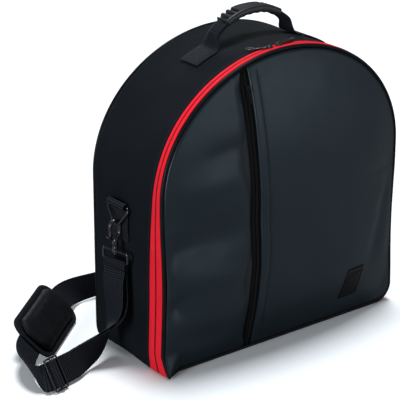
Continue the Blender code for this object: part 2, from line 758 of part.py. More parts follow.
def handle_tab(name, foot_x, end_x):
    """A webbing end sewn flat on the arch, whose inner end rises as a foot that tapers to the handle."""
    rise = CLEARANCE + TAB_THICKNESS / 2
    rings = []
    for step in range(TAB_STEPS + 1):
        x = end_x + (foot_x - end_x) * step / TAB_STEPS
        low = arch_place(x, CLEARANCE)
        high = arch_place(x, 2 * rise - CLEARANCE)
        half = WEBBING_WIDTH / 2
        rings.append([low + Vector((0, half, 0)), low - Vector((0, half, 0)),
                      high - Vector((0, half, 0)), high + Vector((0, half, 0))])
    inward = -1 if foot_x > 0 else 1
    tip_z = BAG_HEIGHT + HANDLE_FOOT_RISE - FOOT_TIP_DROP
    tip_x = foot_x + inward * TAB_THICKNESS
    half = FOOT_TIP_WIDTH / 2
    near = Vector((tip_x, 0, tip_z))
    far = Vector((tip_x - inward * HANDLE_WEB, 0, tip_z))
    rings.append([near + Vector((0, half, 0)), near - Vector((0, half, 0)),
                  far - Vector((0, half, 0)), far + Vector((0, half, 0))])
    return loft(name, rings, "webbing")


def handle_height(x):
    """The handle's middle line: a flat-topped arch over its two feet."""
    share = abs(x) / HANDLE_HALF_SPAN
    return BAG_HEIGHT + HANDLE_FOOT_RISE + HANDLE_RISE * (1 - share ** HANDLE_POWER)


def handle_frames(half_span, steps):
    """Places along the handle with the direction that points away from the bag."""
    frames = []
    for step in range(steps + 1):
        x = half_span * (2 * step / steps - 1)
        nudge = half_span / steps / 4
        ahead = min(x + nudge, HANDLE_HALF_SPAN)
        behind = max(x - nudge, -HANDLE_HALF_SPAN)
        along = Vector((ahead - behind, 0, handle_height(ahead) - handle_height(behind))).normalized()
        frames.append((Vector((x, 0, handle_height(x))), Vector((-along.z, 0, along.x))))
    return frames


def handle():
    """The folded webbing of the carry handle and the moulded grip round it."""
    rings = []
    for place, out in handle_frames(HANDLE_HALF_SPAN, HANDLE_STEPS):
        side = Vector((0, HANDLE_WEB_WIDTH / 2, 0))
        lift = out * (HANDLE_WEB / 2)
        rings.append([place + side + lift, place - side + lift, place - side - lift, place + side - lift])
    webbing = loft("handle_webbing", rings, "webbing")
    outer = []
    for place, out in handle_frames(GRIP_HALF_SPAN, GRIP_STEPS):
        side = Vector((0, GRIP_WIDTH / 2, 0))
        outer.append([place + side * c + out * (GRIP_HEIGHT / 2 * s) for c, s in grip_section()])
    grip = smooth(loft("handle_grip", outer, "rubber"))
    slot_side = HANDLE_WEB_WIDTH / 2 + CLEARANCE
    slot_lift = HANDLE_WEB / 2 + CLEARANCE
    slot = []
    for place, out in handle_frames(HANDLE_HALF_SPAN, HANDLE_STEPS):
        side = Vector((0, slot_side, 0))
        slot.append([place + side + out * slot_lift, place - side + out * slot_lift,
                     place - side - out * slot_lift, place + side - out * slot_lift])
    boolean(grip, loft("handle_grip_slot", slot, "rubber"), "DIFFERENCE")
    pivot("handle_tilt_axis", (0, 0, BAG_HEIGHT + HANDLE_FOOT_RISE), (webbing, grip))
    handle_tab("handle_tab_left", -HANDLE_HALF_SPAN, LEFT_TAB_END)
    handle_tab("handle_tab_right", HANDLE_HALF_SPAN, RIGHT_TAB_END)


def grip_section():
    """A rounded oblong of half size one by one, as shares of the grip's half width and half height."""
    points = []
    for step in range(GRIP_SIDES):
        angle = math.tau * (step + 0.5) / GRIP_SIDES
        values = (math.cos(angle), math.sin(angle))
        points.append([math.copysign(abs(value) ** GRIP_ROUND_SHARE, value) for value in values])
    return points


def tab_layers():
    """Distances from the bag's side of the ring tab's sewn layer, the lap over it and the ring's bar."""
    sewn = CLEARANCE + WEBBING / 2
    lap = sewn + WEBBING + CLEARANCE
    turn = RING_WIRE + CLEARANCE + WEBBING / 2
    return sewn, lap, turn


def ring_tab(name, side):
    """Webbing sewn up the bag's side, turned round the ring's bar and lapped back over itself."""
    sewn, lap, turn = tab_layers()
    centre = sewn + turn
    path = [(sewn, RING_Z - TAB_LENGTH), (sewn, RING_Z - TAB_LENGTH / 2), (sewn, RING_Z)]
    for step in range(1, TURN_STEPS + 1):
        angle = TAB_WRAP * step / TURN_STEPS
        path.append((centre - turn * math.cos(angle), RING_Z + turn * math.sin(angle)))
    path.append((lap, RING_Z - turn - WEBBING))
    path.append((lap, RING_Z - TAB_LAP))
    places = [((side * (HALF_WIDTH + out), RING_Y, z), (0, 1, 0)) for out, z in path]
    return ribbon(name, places, WEBBING_WIDTH, WEBBING, "webbing")


def ring_bar():
    sewn, _, turn = tab_layers()
    return HALF_WIDTH + sewn + turn


def ring_apex():
    """Distance from the bag's middle, and height, of the ring's lowest wire."""
    return ring_bar() + RING_LENGTH * math.sin(RING_TILT), RING_Z - RING_LENGTH * math.cos(RING_TILT)


def ring(name, side):
    """A three-sided wire ring: a straight bar in the tab and two legs that meet below it."""
    half = RING_WIDTH / 2
    cut = RING_CORNER_SHARE
    leg = 1 - cut / 2
    bend = RING_CORNER / RING_LENGTH
    right = [(half - RING_CORNER, 0), (half, bend), (half * leg, bend + cut), (half * RING_BEND_SHARE, leg),
             (half * cut, 1)]
    flat = right + [(-across, down) for across, down in reversed(right)]
    apex_out, apex_z = ring_apex()
    lean = HOOK_Y - RING_Y
    points = [(side * (ring_bar() + (apex_out - ring_bar()) * down), RING_Y + across + lean * down,
               RING_Z + (apex_z - RING_Z) * down) for across, down in flat]
    return wire(name, points, RING_WIRE, "black_metal", cyclic=True)


def hook_centre():
    """Distance from the bag's middle, and height, of the middle of the snap hook's eye."""
    apex_out, apex_z = ring_apex()
    lift = RING_WIRE + HOOK_WIRE + 2 * CLEARANCE
    return apex_out + HOOK_REACH, apex_z + lift - HOOK_HALF_EYE


def hook_stations():
    """Heights along the snap hook, from its eye's middle down to its stem's head."""
    boss_low = -EYE_TO_BOSS - BOSS_LENGTH
    stem_low = boss_low - STEM_LENGTH
    return boss_low, stem_low, stem_low - STEM_HEAD


def hook(name, side):
    """The snap hook: a stem that turns in the swivel loop, a boss and an open eye."""
    boss_low, stem_low, head_low = hook_stations()
    eye = HOOK_HALF_EYE
    profile = [(0, head_low, STEM_HEAD_RADIUS), (0, stem_low, STEM_HEAD_RADIUS),
               (0, stem_low + STEP_LENGTH, STEM_RADIUS), (0, boss_low, STEM_RADIUS),
               (0, boss_low + STEP_LENGTH, BOSS_RADIUS), (0, -EYE_TO_BOSS, BOSS_RADIUS)]
    for over, down, swell in HOOK_NECK_SHARES:
        profile.append((-eye * over, -EYE_TO_BOSS * down, HOOK_WIRE + (BOSS_RADIUS - HOOK_WIRE) * swell))
    for step in range(TURN_STEPS + 1):
        angle = math.pi * (1 - step / TURN_STEPS)
        profile.append((eye * math.cos(angle), eye * math.sin(angle), HOOK_WIRE))
    profile.append((eye, -HOOK_TIP, HOOK_WIRE))
    out, height = hook_centre()
    points = [(side * (out + h), HOOK_Y, height + v) for h, v, _ in profile]
    return wire(name, points, HOOK_WIRE, "black_metal", radii=[radius for _, _, radius in profile])


def gate(name, side):
    """The sprung gate that closes the eye, with its thumb piece."""
    out, height = hook_centre()
    eye = HOOK_HALF_EYE
    arm = GATE_ARM
    top = -HOOK_TIP - CLEARANCE
    low = top - GATE_LENGTH
    thumb_top, thumb_root, inner, thumb_low = (top - GATE_LENGTH * share for share in GATE_THUMB_SHARES)
    flat = [(eye - arm / 2, top), (eye + arm / 2, top), (eye + arm / 2, thumb_root),
            (eye + GATE_THUMB, thumb_top), (eye + GATE_THUMB, thumb_low), (eye + arm / 2, low + arm),
            (eye - arm / 2, low), (eye - arm * 3 / 2, low + arm / 2), (eye - arm, inner)]
    rings = [[(side * (out + h), HOOK_Y + depth, height + v) for h, v in flat]
             for depth in (-GATE_THICKNESS / 2, GATE_THICKNESS / 2)]
    piece = loft(name, rings, "black_metal")
    pivot(name + "_axis", (side * (out + eye - arm / 2), HOOK_Y, height + low + arm), (piece,))
    return piece


def loop_frame(side):
    """The swivel loop's top bar height, lower bar place and width direction."""
    out, height = hook_centre()
    boss_low, stem_low, _ = hook_stations()
    top = height + (boss_low + stem_low) / 2
    across = Vector((-side * math.sin(LOOP_YAW), -math.cos(LOOP_YAW), 0))
    return Vector((side * out, HOOK_Y, top)), Vector((side * out, HOOK_Y, top - LOOP_HEIGHT)), across


def swivel_loop(name, side):
    """A rectangular wire loop for the strap, with a bored collar on its top bar for the hook's stem."""
    top, low, across = loop_frame(side)
    half = LOOP_WIDTH / 2
    cut = LOOP_CORNER
    down = low - top
    drop = down.normalized() * cut
    points = [top - across * (half - cut), top + across * (half - cut), top + across * half + drop,
              low + across * half - drop, low + across * (half - cut), low - across * (half - cut),
              low - across * half - drop, top - across * half + drop]
    frame = wire(name, points, LOOP_WIRE, "black_metal", cyclic=True)
    collar_height = STEM_LENGTH - 2 * CLEARANCE - STEP_LENGTH
    collar = cylinder(name + "_collar", BOSS_RADIUS, collar_height, top, "black_metal")
    bore = cylinder(name + "_bore", STEM_RADIUS + CLEARANCE, BAG_WIDTH / 2, top, "black_metal")
    bore.scale.z = LOOP_HEIGHT / BAG_WIDTH
    return boolean(boolean(frame, collar, "UNION"), bore, "DIFFERENCE")


def strap_turn():
    return LOOP_WIRE + CLEARANCE + WEBBING / 2


def strap_end(name, side):
    """The strap's turn round the swivel loop's lower bar, with a short leg down on both sides."""
    _, low, across = loop_frame(side)
    outward = Vector((side * math.cos(LOOP_YAW), -math.sin(LOOP_YAW), 0))
    turn = strap_turn()
    leg = Vector((0, 0, STRAP_LEG))
    path = [(low + outward * turn - leg, across)]
    for step in range(TURN_STEPS + 1):
        angle = math.pi * step / TURN_STEPS
        up = Vector((0, 0, turn * math.sin(angle)))
        path.append((low + outward * (turn * math.cos(angle)) + up, across))
    path.append((low - outward * turn - leg, across))
    return ribbon(name, path, WEBBING_WIDTH, WEBBING, "webbing")


def clips():
    """Both side rings with their tabs, snap hooks, gates, swivel loops and strap ends."""
    for word, side in (("left", -1), ("right", 1)):
        ring_tab("ring_tab_" + word, side)
        pieces = [ring("ring_" + word, side), swivel_loop("swivel_loop_" + word, side),
                  strap_end("strap_end_" + word, side)]
        pivot("clip_axis_" + word, (side * ring_bar(), RING_Y, RING_Z), pieces)
        hook("hook_" + word, side)
        gate("gate_" + word, side)


def pad_place(along, across, out):
    corner = Vector((-HALF_WIDTH - PAD_OUT_X, PAD_BACK_Y, PAD_LOW_Z))
    return corner + PAD_ALONG * along + PAD_ACROSS * across + PAD_OUT * out


def strap_depth():
    """How far behind the pad's middle plane the strap runs."""
    return PAD_BASE / 2 + CLEARANCE + WEBBING / 2


def adjuster_middle():
    return Vector((-HALF_WIDTH - ADJUSTER_OUT, ADJUSTER_Y, ADJUSTER_Z))


def between(start, end, shares):
    """A place that lies a share of the way from a start to an end in each direction."""
    return Vector([a + (b - a) * share for a, b, share in zip(start, end, shares)])


def hanging_route():
    """The strap's middle line and its upper edge's direction, from the left hook down to the adjuster."""
    _, low, across = loop_frame(-1)
    top = low + Vector((math.cos(LOOP_YAW), math.sin(LOOP_YAW), 0)) * strap_turn()
    top.z -= STRAP_LEG + 3 * CLEARANCE
    start = top - Vector((0, 0, STRAP_RUN_IN))
    route = [(top, across), (start, across)]
    for shares, edge in HANGING_SHARES:
        route.append((between(start, adjuster_middle(), shares), edge))
    return route


def turning_route():
    """The strap's turn on the left, from the adjuster back to the pad."""
    middle = adjuster_middle()
    pad_end = pad_place(-PAD_STRAP_RUN_OUT, PAD_WIDTH / 2, -strap_depth())
    route = []
    for (out, down, way), edge in TURNING_SHARES:
        place = between(middle, pad_end, (0, way, way))
        route.append((place - Vector((out, 0, down)) * STRAP_TURN_OUT, edge))
    return route + [(pad_end, PAD_ACROSS)]


def far_route():
    """The strap from the pad's far end, round the back on its edge, and up to the right hook."""
    route = [(pad_place(PAD_LENGTH + PAD_STRAP_RUN_OUT, PAD_WIDTH / 2, -strap_depth()), PAD_ACROSS)]
    for (x_share, back), edge in BEHIND_SHARES:
        height = STRAP_LIFT + WEBBING_WIDTH / 2 * Vector(edge).normalized().z
        route.append(((HALF_WIDTH * x_share, BACK_EDGE + STRAP_BEHIND * back, height), edge))
    _, low, across = loop_frame(1)
    top = low + Vector((math.cos(LOOP_YAW), -math.sin(LOOP_YAW), 0)) * strap_turn()
    top.z -= STRAP_LEG + 3 * CLEARANCE
    end = top - Vector((0, 0, STRAP_RUN_IN))
    floor = (HALF_WIDTH + STRAP_RIGHT, BACK_EDGE, 2 * STRAP_LIFT)
    for shares, edge in RISING_SHARES:
        route.append((between(floor, end, shares), edge))
    return route + [(end, -across), (top, -across)]


def smooth_path(path, steps):
    """A smooth curve through a path's places and directions."""
    places = [Vector(place) for place, _ in path]
    sides = [Vector(side).normalized() for _, side in path]
    result = []
    for index in range(len(path) - 1):
        ends = [max(index - 1, 0), index, index + 1, min(index + 2, len(path) - 1)]
        for step in range(steps):
            share = step / steps
            mixed = []
            for values in (places, sides):
                a, b, c, d = (values[end] for end in ends)
                mixed.append(0.5 * ((2 * b) + (c - a) * share + (2 * a - 5 * b + 4 * c - d) * share ** 2
                                    + (3 * b - a - 3 * c + d) * share ** 3))
            result.append((mixed[0], mixed[1].normalized()))
    result.append((places[-1], sides[-1]))
    return result


def adjuster_frame():
    """The adjuster's middle and the directions of the strap, of its upper edge and of its hidden side."""
    middle = adjuster_middle()
    along = (middle - hanging_route()[-1][0]).normalized()
    normal = along.cross(Vector(ADJUSTER_EDGE_SHARES)).normalized()
    return middle, along, normal.cross(along), normal


def woven(offsets):
    """Places through the adjuster from distances along the strap and towards its hidden side."""
    middle, along, across, normal = adjuster_frame()
    return [(middle + along * distance + normal * lift, across) for distance, lift in offsets]


def bar_lift():
    """How far the strap's middle plane lies beside the adjuster's bars."""
    return ADJUSTER_WIRE + CLEARANCE + WEBBING / 2


def sliding_layer():
    """The strap from the left hook through the adjuster, round the bag's back and up to the right hook."""
    wrap = bar_lift() + CLEARANCE / 2
    over = wrap + WEBBING + 2 * CLEARANCE
    weave = [(ADJUSTER_PITCH * along, bar_lift() * beside - over * above)
             for along, beside, above in WEAVE_SHARES]
    path = smooth_path(hanging_route(), STRAP_STEPS) + woven(weave)
    path += smooth_path(turning_route(), STRAP_STEPS - 1) + smooth_path(far_route(), STRAP_STEPS)
    ribbon("shoulder_strap", path, WEBBING_WIDTH, WEBBING, "webbing", twisted=True)


def return_layer():
    """The outer layer from the left hook down to the adjuster, ending round the adjuster's middle bar."""
    path = smooth_path(hanging_route(), STRAP_STEPS)
    lifts = []
    for index in range(len(path)):
        low = index // STRAP_STEPS
        high = min(low + 1, len(SPREAD_SHARES) - 1)
        share = SPREAD_SHARES[low] + (SPREAD_SHARES[high] - SPREAD_SHARES[low]) * (index / STRAP_STEPS - low)
        lifts.append(2 * strap_turn() * share)
    layer = WEBBING + 2 * CLEARANCE
    wrap = bar_lift() + CLEARANCE / 2
    ends = [(ADJUSTER_PITCH * along, bar_lift() + layer * share) for along, share in RETURN_SHARES]
    for step in range(TURN_STEPS + 1):
        angle = RETURN_WRAP * step / TURN_STEPS
        ends.append((wrap * math.sin(angle), wrap * math.cos(angle)))
    rings = ribbon_rings(path, WEBBING_WIDTH, WEBBING, lifts) + ribbon_rings(woven(ends), WEBBING_WIDTH, WEBBING)
    loft("strap_return", rings, "webbing", twisted=True)


def adjuster():
    """A wire frame with a middle bar that holds both layers of the strap."""
    middle, along, across, _ = adjuster_frame()
    half = ADJUSTER_SPREAD / 2 + ADJUSTER_WIRE
    cut = ADJUSTER_CORNER
    corners = []
    for u, w in ((-1, -1), (1, -1), (1, 1), (-1, 1)):
        near = middle + along * (u * (ADJUSTER_PITCH - cut)) + across * (w * half)
        far = middle + along * (u * ADJUSTER_PITCH) + across * (w * (half - cut))
        corners += [near, far] if u * w < 0 else [far, near]
    frame = wire("strap_adjuster", corners, ADJUSTER_WIRE, "black_metal", cyclic=True)
    ends = [middle - across * half, middle + across * half]
    boolean(frame, wire("strap_adjuster_bar", ends, ADJUSTER_WIRE, "black_metal"), "UNION")


def rounded(length, width, radius, inset):
    """A rounded oblong drawn in by an inset, from the pad's lower corner."""
    points = []
    corner = radius - inset
    for x, y, start in ((length - radius, radius, -90), (length - radius, width - radius, 0),
                        (radius, width - radius, 90), (radius, radius, 180)):
        for step in range(CORNER_STEPS + 1):
            angle = math.radians(start + 90 * step / CORNER_STEPS)
            points.append((x + corner * math.cos(angle), y + corner * math.sin(angle)))
    return points


def shoulder_pad():
    """The strap's pad: a flat bound base, a crowned cushion on it and two keepers behind it for the strap."""
    half = PAD_BASE / 2
    base_rings = [[pad_place(x, y, level) for x, y in rounded(PAD_LENGTH, PAD_WIDTH, PAD_CORNER, 0)]
                  for level in (-half, half)]
    loft("pad_base", base_rings, "pad_cloth")
    seat = half + CLEARANCE
    crown = []
    for inset_share, rise_share in PAD_CROWN_SHARES:
        inset = PAD_RIM * inset_share
        crown.append([pad_place(x, y, seat + PAD_CROWN * rise_share)
                      for x, y in rounded(PAD_LENGTH, PAD_WIDTH, PAD_CORNER, inset)])
    smooth(loft("pad_cushion", crown, "pad_cloth"))
    reach = WEBBING_WIDTH / 2 + KEEPER_MARGIN
    deep = half + KEEPER_MARGIN + WEBBING * 3 / 2 + CLEARANCE
    shallow = half + CLEARANCE + WEBBING / 2
    for name, along in (("pad_keeper_near", KEEPER_INSET), ("pad_keeper_far", PAD_LENGTH - KEEPER_INSET)):
        path = []
        for across, level in ((-reach - KEEPER_FOOT, shallow), (-reach - WEBBING, shallow), (-reach, deep),
                              (reach, deep), (reach + WEBBING, shallow), (reach + KEEPER_FOOT, shallow)):
            path.append((pad_place(along, PAD_WIDTH / 2 + across, -level), PAD_ALONG))
        ribbon(name, path, KEEPER_WIDTH, WEBBING, "webbing")


clear_scene()
BAG = collection("drum_bag")
CUTTERS = collection("cutters")
gusset()
back()
main_zipper()
lid()
pocket_zipper()
main_sliders()
patch()
handle()
clips()
sliding_layer()
return_layer()
adjuster()
shoulder_pad()
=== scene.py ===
"""Looks of the drum bag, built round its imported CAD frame. Metres, +Z up, origin at the middle of the base."""

import math

import bmesh
import bpy
import numpy as np
from mathutils import Matrix, Vector, noise


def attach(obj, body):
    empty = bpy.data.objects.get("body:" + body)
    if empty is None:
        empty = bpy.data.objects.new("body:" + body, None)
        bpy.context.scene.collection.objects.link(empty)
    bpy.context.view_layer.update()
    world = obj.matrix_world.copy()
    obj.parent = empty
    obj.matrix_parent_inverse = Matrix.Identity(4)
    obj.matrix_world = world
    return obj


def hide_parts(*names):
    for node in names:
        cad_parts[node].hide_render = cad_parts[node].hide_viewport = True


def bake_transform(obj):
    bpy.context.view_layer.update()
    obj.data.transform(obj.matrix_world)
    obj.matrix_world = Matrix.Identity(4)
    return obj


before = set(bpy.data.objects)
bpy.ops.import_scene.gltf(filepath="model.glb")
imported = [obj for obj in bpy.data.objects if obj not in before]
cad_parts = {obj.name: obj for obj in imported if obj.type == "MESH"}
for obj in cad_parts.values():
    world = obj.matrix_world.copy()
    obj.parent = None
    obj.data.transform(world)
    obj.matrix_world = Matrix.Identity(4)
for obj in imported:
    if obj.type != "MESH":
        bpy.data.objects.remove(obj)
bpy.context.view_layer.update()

# The bag's shape, as in its CAD source
BAG_WIDTH = 0.420
BAG_HEIGHT = 0.425
SIDE_HEIGHT = 0.248
CORNER_RADIUS = 0.028
BODY_DEPTH = 0.157
PANEL_BULGE = 0.029
BULGE_POWER = 2.3
CLEARANCE = 0.0003
CLOTH = 0.0016
FOAM = 0.008
LINING = 0.001
PANEL_FOAM = 0.010
PIPING_RADIUS = 0.0025
TAPE_THICKNESS = 0.001
ARCH_TAPE = 0.0055
SIDE_TAPE_GROWTH = 0.0070
FLARE_TOP = 0.300
FLARE_BOTTOM = 0.120
SLIT = 0.0012
COIL = 0.0014
SLIDER_ROOM = 0.0075
SEAM_TOP_X = -0.074
SEAM_BASE_X = -0.063
SEAM_GAP = 0.012
HALF_WIDTH = BAG_WIDTH / 2
ARCH_RISE = BAG_HEIGHT - SIDE_HEIGHT
FRONT_EDGE = -BODY_DEPTH / 2
BACK_EDGE = BODY_DEPTH / 2
PANEL_CENTRE_Z = BAG_HEIGHT / 2
PANEL_INSET = 2 * PIPING_RADIUS
SKIN_REACH = 1 - PANEL_INSET / HALF_WIDTH
LID_TAPE_FRONT = FRONT_EDGE + 2 * PIPING_RADIUS + CLEARANCE
SKIN_FRONT = FRONT_EDGE + CLEARANCE
SKIN_BACK = SKIN_FRONT + CLOTH
LID_INSET = TAPE_THICKNESS + SLIDER_ROOM - CLEARANCE
GUSSET_BACK = BACK_EDGE - 2 * PIPING_RADIUS - CLEARANCE
WALL = CLOTH + FOAM + LINING + 2 * CLEARANCE
BACK_SKIN = BACK_EDGE - CLEARANCE - CLOTH
BACK_FOAM_FACE = BACK_SKIN - CLEARANCE

# Seams and stitches of the cloth
TAPE_TUCK = 0.0010
WALL_STITCH = 0.0034
BACK_WALL_STITCH = 0.0040
BACK_STITCH = 0.0035
STITCH_FLOOR = 0.006
TOPSTITCH = 0.0148
TOPSTITCH_RISE = 0.0009
POCKET_STITCH = 0.0046
# Lines of points beside the pocket's seam, where its topstitched fold bends
FOLD_CUTS = [0.0265, 0.0215, 0.0205, 0.0195]
STITCH_PITCH = 0.0034
STITCH_LENGTH = 0.0027
THREAD_THICKNESS = 0.0006
# The pitch, width and wire of a zipper's teeth
MAIN_TEETH = (0.0015, 0.0017, 0.00060)
POCKET_TEETH = (0.0013, 0.0030, 0.00060)

# How the cloth sags and dents
SIDE_PINCH = 0.0030
PINCH_Z = 0.125
PINCH_REACH = 0.105
WALL_SAG = 0.0016
BACK_PUFF = 0.0045
HEM_ROLL = 0.0030
HEM_DROP = 0.0046
DENTS = (
    ((-0.112, 0.305), (0.034, 0.014), 0.0030, 12),
    ((-0.140, 0.262), (0.052, 0.018), -0.0026, 8),
    ((-0.156, 0.184), (0.066, 0.023), 0.0090, 10),
    ((-0.140, 0.130), (0.066, 0.018), -0.0030, 0),
    ((-0.188, 0.098), (0.020, 0.016), 0.0076, -10),
    ((-0.198, 0.060), (0.012, 0.024), -0.0016, 0),
    ((-0.138, 0.046), (0.060, 0.018), 0.0036, -6),
    ((0.182, 0.168), (0.010, 0.030), 0.0020, -20),
    ((0.168, 0.118), (0.011, 0.042), 0.0022, -22),
    ((0.188, 0.096), (0.010, 0.030), -0.0010, -16),
    ((0.055, 0.034), (0.080, 0.018), 0.0014, 3),
)
SHARE_POWER = 7
CORNER_SQUASH_SHARE = 0.78
CORNER_PUSH = 0.0135

# How finely the shapes are divided
CORNER_STEPS = 12
SIDE_STEPS = 40
ARCH_STEPS = 150
BASE_STEPS = 44
SKIN_RINGS = 52
PIPING_SIDES = 12
# Points that lie nearer than this are joined
WELD = 0.000001


def spread(first, last, count):
    """Even values from the first to the last, with count steps between them."""
    return [first + (last - first) * step / count for step in range(count + 1)]


def circle(count):
    """Even angles once round, without the last, which is the first again."""
    return [math.tau * step / count for step in range(count)]


def quads(rows, columns, width=None):
    """The faces between rows of points. Without a width that is larger than it has columns, each row closes."""
    size = width or columns
    faces = []
    for row in range(rows):
        for side in range(columns):
            after = (side + 1) % size
            faces.append((row * size + side, row * size + after, (row + 1) * size + after, (row + 1) * size + side))
    return faces


def scene_object(name, data):
    item = bpy.data.objects.new(name, data)
    bpy.context.scene.collection.objects.link(item)
    return item


def piece(name, points, faces, materials, flat=False, uv=None, faces_of=None):
    """A mesh piece from points and faces. uv holds a pair for each point, in metres."""
    mesh = bpy.data.meshes.new(name)
    mesh.from_pydata([tuple(point) for point in points], [], faces)
    for material in materials:
        mesh.materials.append(material)
    if faces_of is not None:
        mesh.polygons.foreach_set("material_index", faces_of)
    if uv is not None:
        layer = mesh.uv_layers.new(name="cloth")
        spots = np.zeros(len(mesh.loops), np.int32)
        mesh.loops.foreach_get("vertex_index", spots)
        layer.data.foreach_set("uv", np.asarray(uv, np.float32)[spots].ravel())
    mesh.validate()
    if not flat:
        mesh.shade_smooth()
    return scene_object(name, mesh)


def put(item, body, slot_name, *nodes):
    """Lets a finished piece ride on its body and stand for its CAD nodes."""
    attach(item, body)
    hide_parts(*nodes)


def turned_out(item, inward=None, weld=0.0):
    """Turns the faces of a piece outwards, all round if inward finds them all turned in."""
    bm = bmesh.new()
    bm.from_mesh(item.data)
    if weld:
        bmesh.ops.remove_doubles(bm, verts=bm.verts, dist=weld)
    bmesh.ops.recalc_face_normals(bm, faces=bm.faces)
    if inward and inward(bm):
        bmesh.ops.reverse_faces(bm, faces=bm.faces)
    bm.to_mesh(item.data)
    bm.free()
    item.data.update()
    return item


def rounded_out(item):
    """Turns every face of a closed piece outwards."""
    return turned_out(item, lambda bm: bm.calc_volume(signed=True) < 0, WELD)


def loft(name, rings, materials, joined=False, flat=False, faces_of=None):
    """A closed piece through rings of points, with lengths along and round it as its cloth map.

    The last point of each ring is the first one again, so that the map has a seam there."""
    rings = [[Vector(point) for point in ring] for ring in rings]
    if joined:
        rings.append([point.copy() for point in rings[0]])
    count = len(rings[0])
    points, uv = [], []
    along = 0.0
    for index, ring in enumerate(rings):
        if index:
            steps = [(a - b).length for a, b in zip(ring, rings[index - 1])]
            along += sum(steps) / len(steps)
        around = 0.0
        for side in range(count + 1):
            point = ring[side % count]
            if side:
                around += (point - ring[side - 1]).length
            points.append(point)
            uv.append((around, along))
    faces = quads(len(rings) - 1, count, count + 1)
    marks = list(faces_of or [0] * count) * (len(rings) - 1)
    if not joined:
        last = (len(rings) - 1) * (count + 1)
        faces += [tuple(range(count - 1, -1, -1)), tuple(range(last, last + count))]
        marks += [max(faces_of or [0])] * 2
    return rounded_out(piece(name, points, faces, materials, flat=flat, uv=uv, faces_of=marks))


def eased_through(rows, steps, turning=False):
    """Values on smooth curves through rows of vectors, steps of them from each row to the next.

    Directions, which come after the place in a row, are turned round where they would flip."""
    last = len(rows) - 1
    for index in range(last):
        picks = [rows[min(max(index + shift, 0), last)] for shift in (-1, 0, 1, 2)]
        for share in spread(0, 1, steps)[:-1]:
            mixed = []
            for part, (a, b, c, d) in enumerate(zip(*picks)):
                if turning and part and b.dot(c) < 0:
                    c = -c
                mixed.append(0.5 * (2 * b + (c - a) * share + (2 * a - 5 * b + 4 * c - d) * share ** 2
                                    + (3 * b - a - 3 * c + d) * share ** 3))
            yield mixed


def corner_arc(x, y, radius, start, steps):
    """Points on a quarter of a circle round a corner's middle, from an angle in degrees."""
    return [(x + radius * math.cos(math.radians(angle)), y + radius * math.sin(math.radians(angle)))
            for angle in spread(start, start + 90, steps)]


def tube(name, places, radius, materials, sides=12, cyclic=False, radii=None):
    """A round bar along places, with turned frames that don't twist."""
    places = [Vector(place) for place in places]
    size = len(places)
    tangents = []
    for index in range(size):
        if cyclic:
            before, after = places[index - 1], places[(index + 1) % size]
        else:
            before, after = places[max(index - 1, 0)], places[min(index + 1, size - 1)]
        tangents.append((after - before).normalized())
    side = tangents[0].orthogonal().normalized()
    frames = []
    for tangent in tangents:
        side = (side - tangent * side.dot(tangent)).normalized()
        frames.append((side.copy(), tangent.cross(side)))
    turn = 0.0
    if cyclic:
        last = (side - tangents[0] * side.dot(tangents[0])).normalized()
        first, second = frames[0]
        turn = math.atan2(last.dot(second), last.dot(first))
    rings = []
    for index, (place, (first, second)) in enumerate(zip(places, frames)):
        reach = radii[index] if radii else radius
        angles = [angle - turn * index / size for angle in circle(sides)]
        rings.append([place + first * (reach * math.cos(angle)) + second * (reach * math.sin(angle))
                      for angle in angles])
    return loft(name, rings, materials, joined=cyclic)


def joined_piece(name, items):
    """Several meshes as one piece."""
    bm = bmesh.new()
    materials = []
    for item in items:
        first = len(bm.faces)
        bm.from_mesh(item.data)
        bm.faces.ensure_lookup_table()
        for face in bm.faces[first:]:
            material = item.data.materials[face.material_index]
            if material not in materials:
                materials.append(material)
            face.material_index = materials.index(material)
    mesh = bpy.data.meshes.new(name)
    bm.to_mesh(mesh)
    bm.free()
    for material in materials:
        mesh.materials.append(material)
    for item in items:
        bpy.data.objects.remove(item, do_unlink=True)
    return scene_object(name, mesh)


def plain_mesh(item):
    """A piece's mesh with its modifiers worked in. The piece keeps none of them."""
    mesh = bpy.data.meshes.new_from_object(item.evaluated_get(bpy.context.evaluated_depsgraph_get()))
    item.modifiers.clear()
    mesh.name = item.name
    return mesh


def finished(item, *modifiers):
    """Applies modifiers, given as kind and settings, so that the piece is one plain mesh."""
    for kind, settings in modifiers:
        modifier = item.modifiers.new(kind.lower(), kind)
        for key, value in settings.items():
            setattr(modifier, key, value)
    item.data = plain_mesh(item)
    return item


def outline(inset, whole=True):
    """The bag's outline in X and Z, drawn in by an inset, from the base's right corner over the arch."""
    foot_x = HALF_WIDTH - CORNER_RADIUS
    radius = CORNER_RADIUS - inset
    corner = [(foot_x + radius * math.cos(angle), CORNER_RADIUS + radius * math.sin(angle))
              for angle in (math.pi / 2 * (step / CORNER_STEPS - 1) for step in range(CORNER_STEPS + 1))]
    side = [(HALF_WIDTH - inset, CORNER_RADIUS + (SIDE_HEIGHT - CORNER_RADIUS) * step / SIDE_STEPS)
            for step in range(1, SIDE_STEPS)]
    arch = []
    for step in range(ARCH_STEPS + 1):
        angle = math.pi * step / ARCH_STEPS
        normal = Vector((math.cos(angle) / HALF_WIDTH, math.sin(angle) / ARCH_RISE)).normalized()
        arch.append((HALF_WIDTH * math.cos(angle) - inset * normal.x,
                     SIDE_HEIGHT + ARCH_RISE * math.sin(angle) - inset * normal.y))
    right = corner + side
    left = [(-x, z) for x, z in reversed(right)]
    base = [(foot_x * (2 * step / BASE_STEPS - 1), inset) for step in range(1, BASE_STEPS)]
    return right + arch + left + (base if whole else [])


def smooth_share(value):
    """Eases a value between 0 and 1, and holds it at both ends."""
    value = min(max(value, 0.0), 1.0)
    return value * value * (3 - 2 * value)


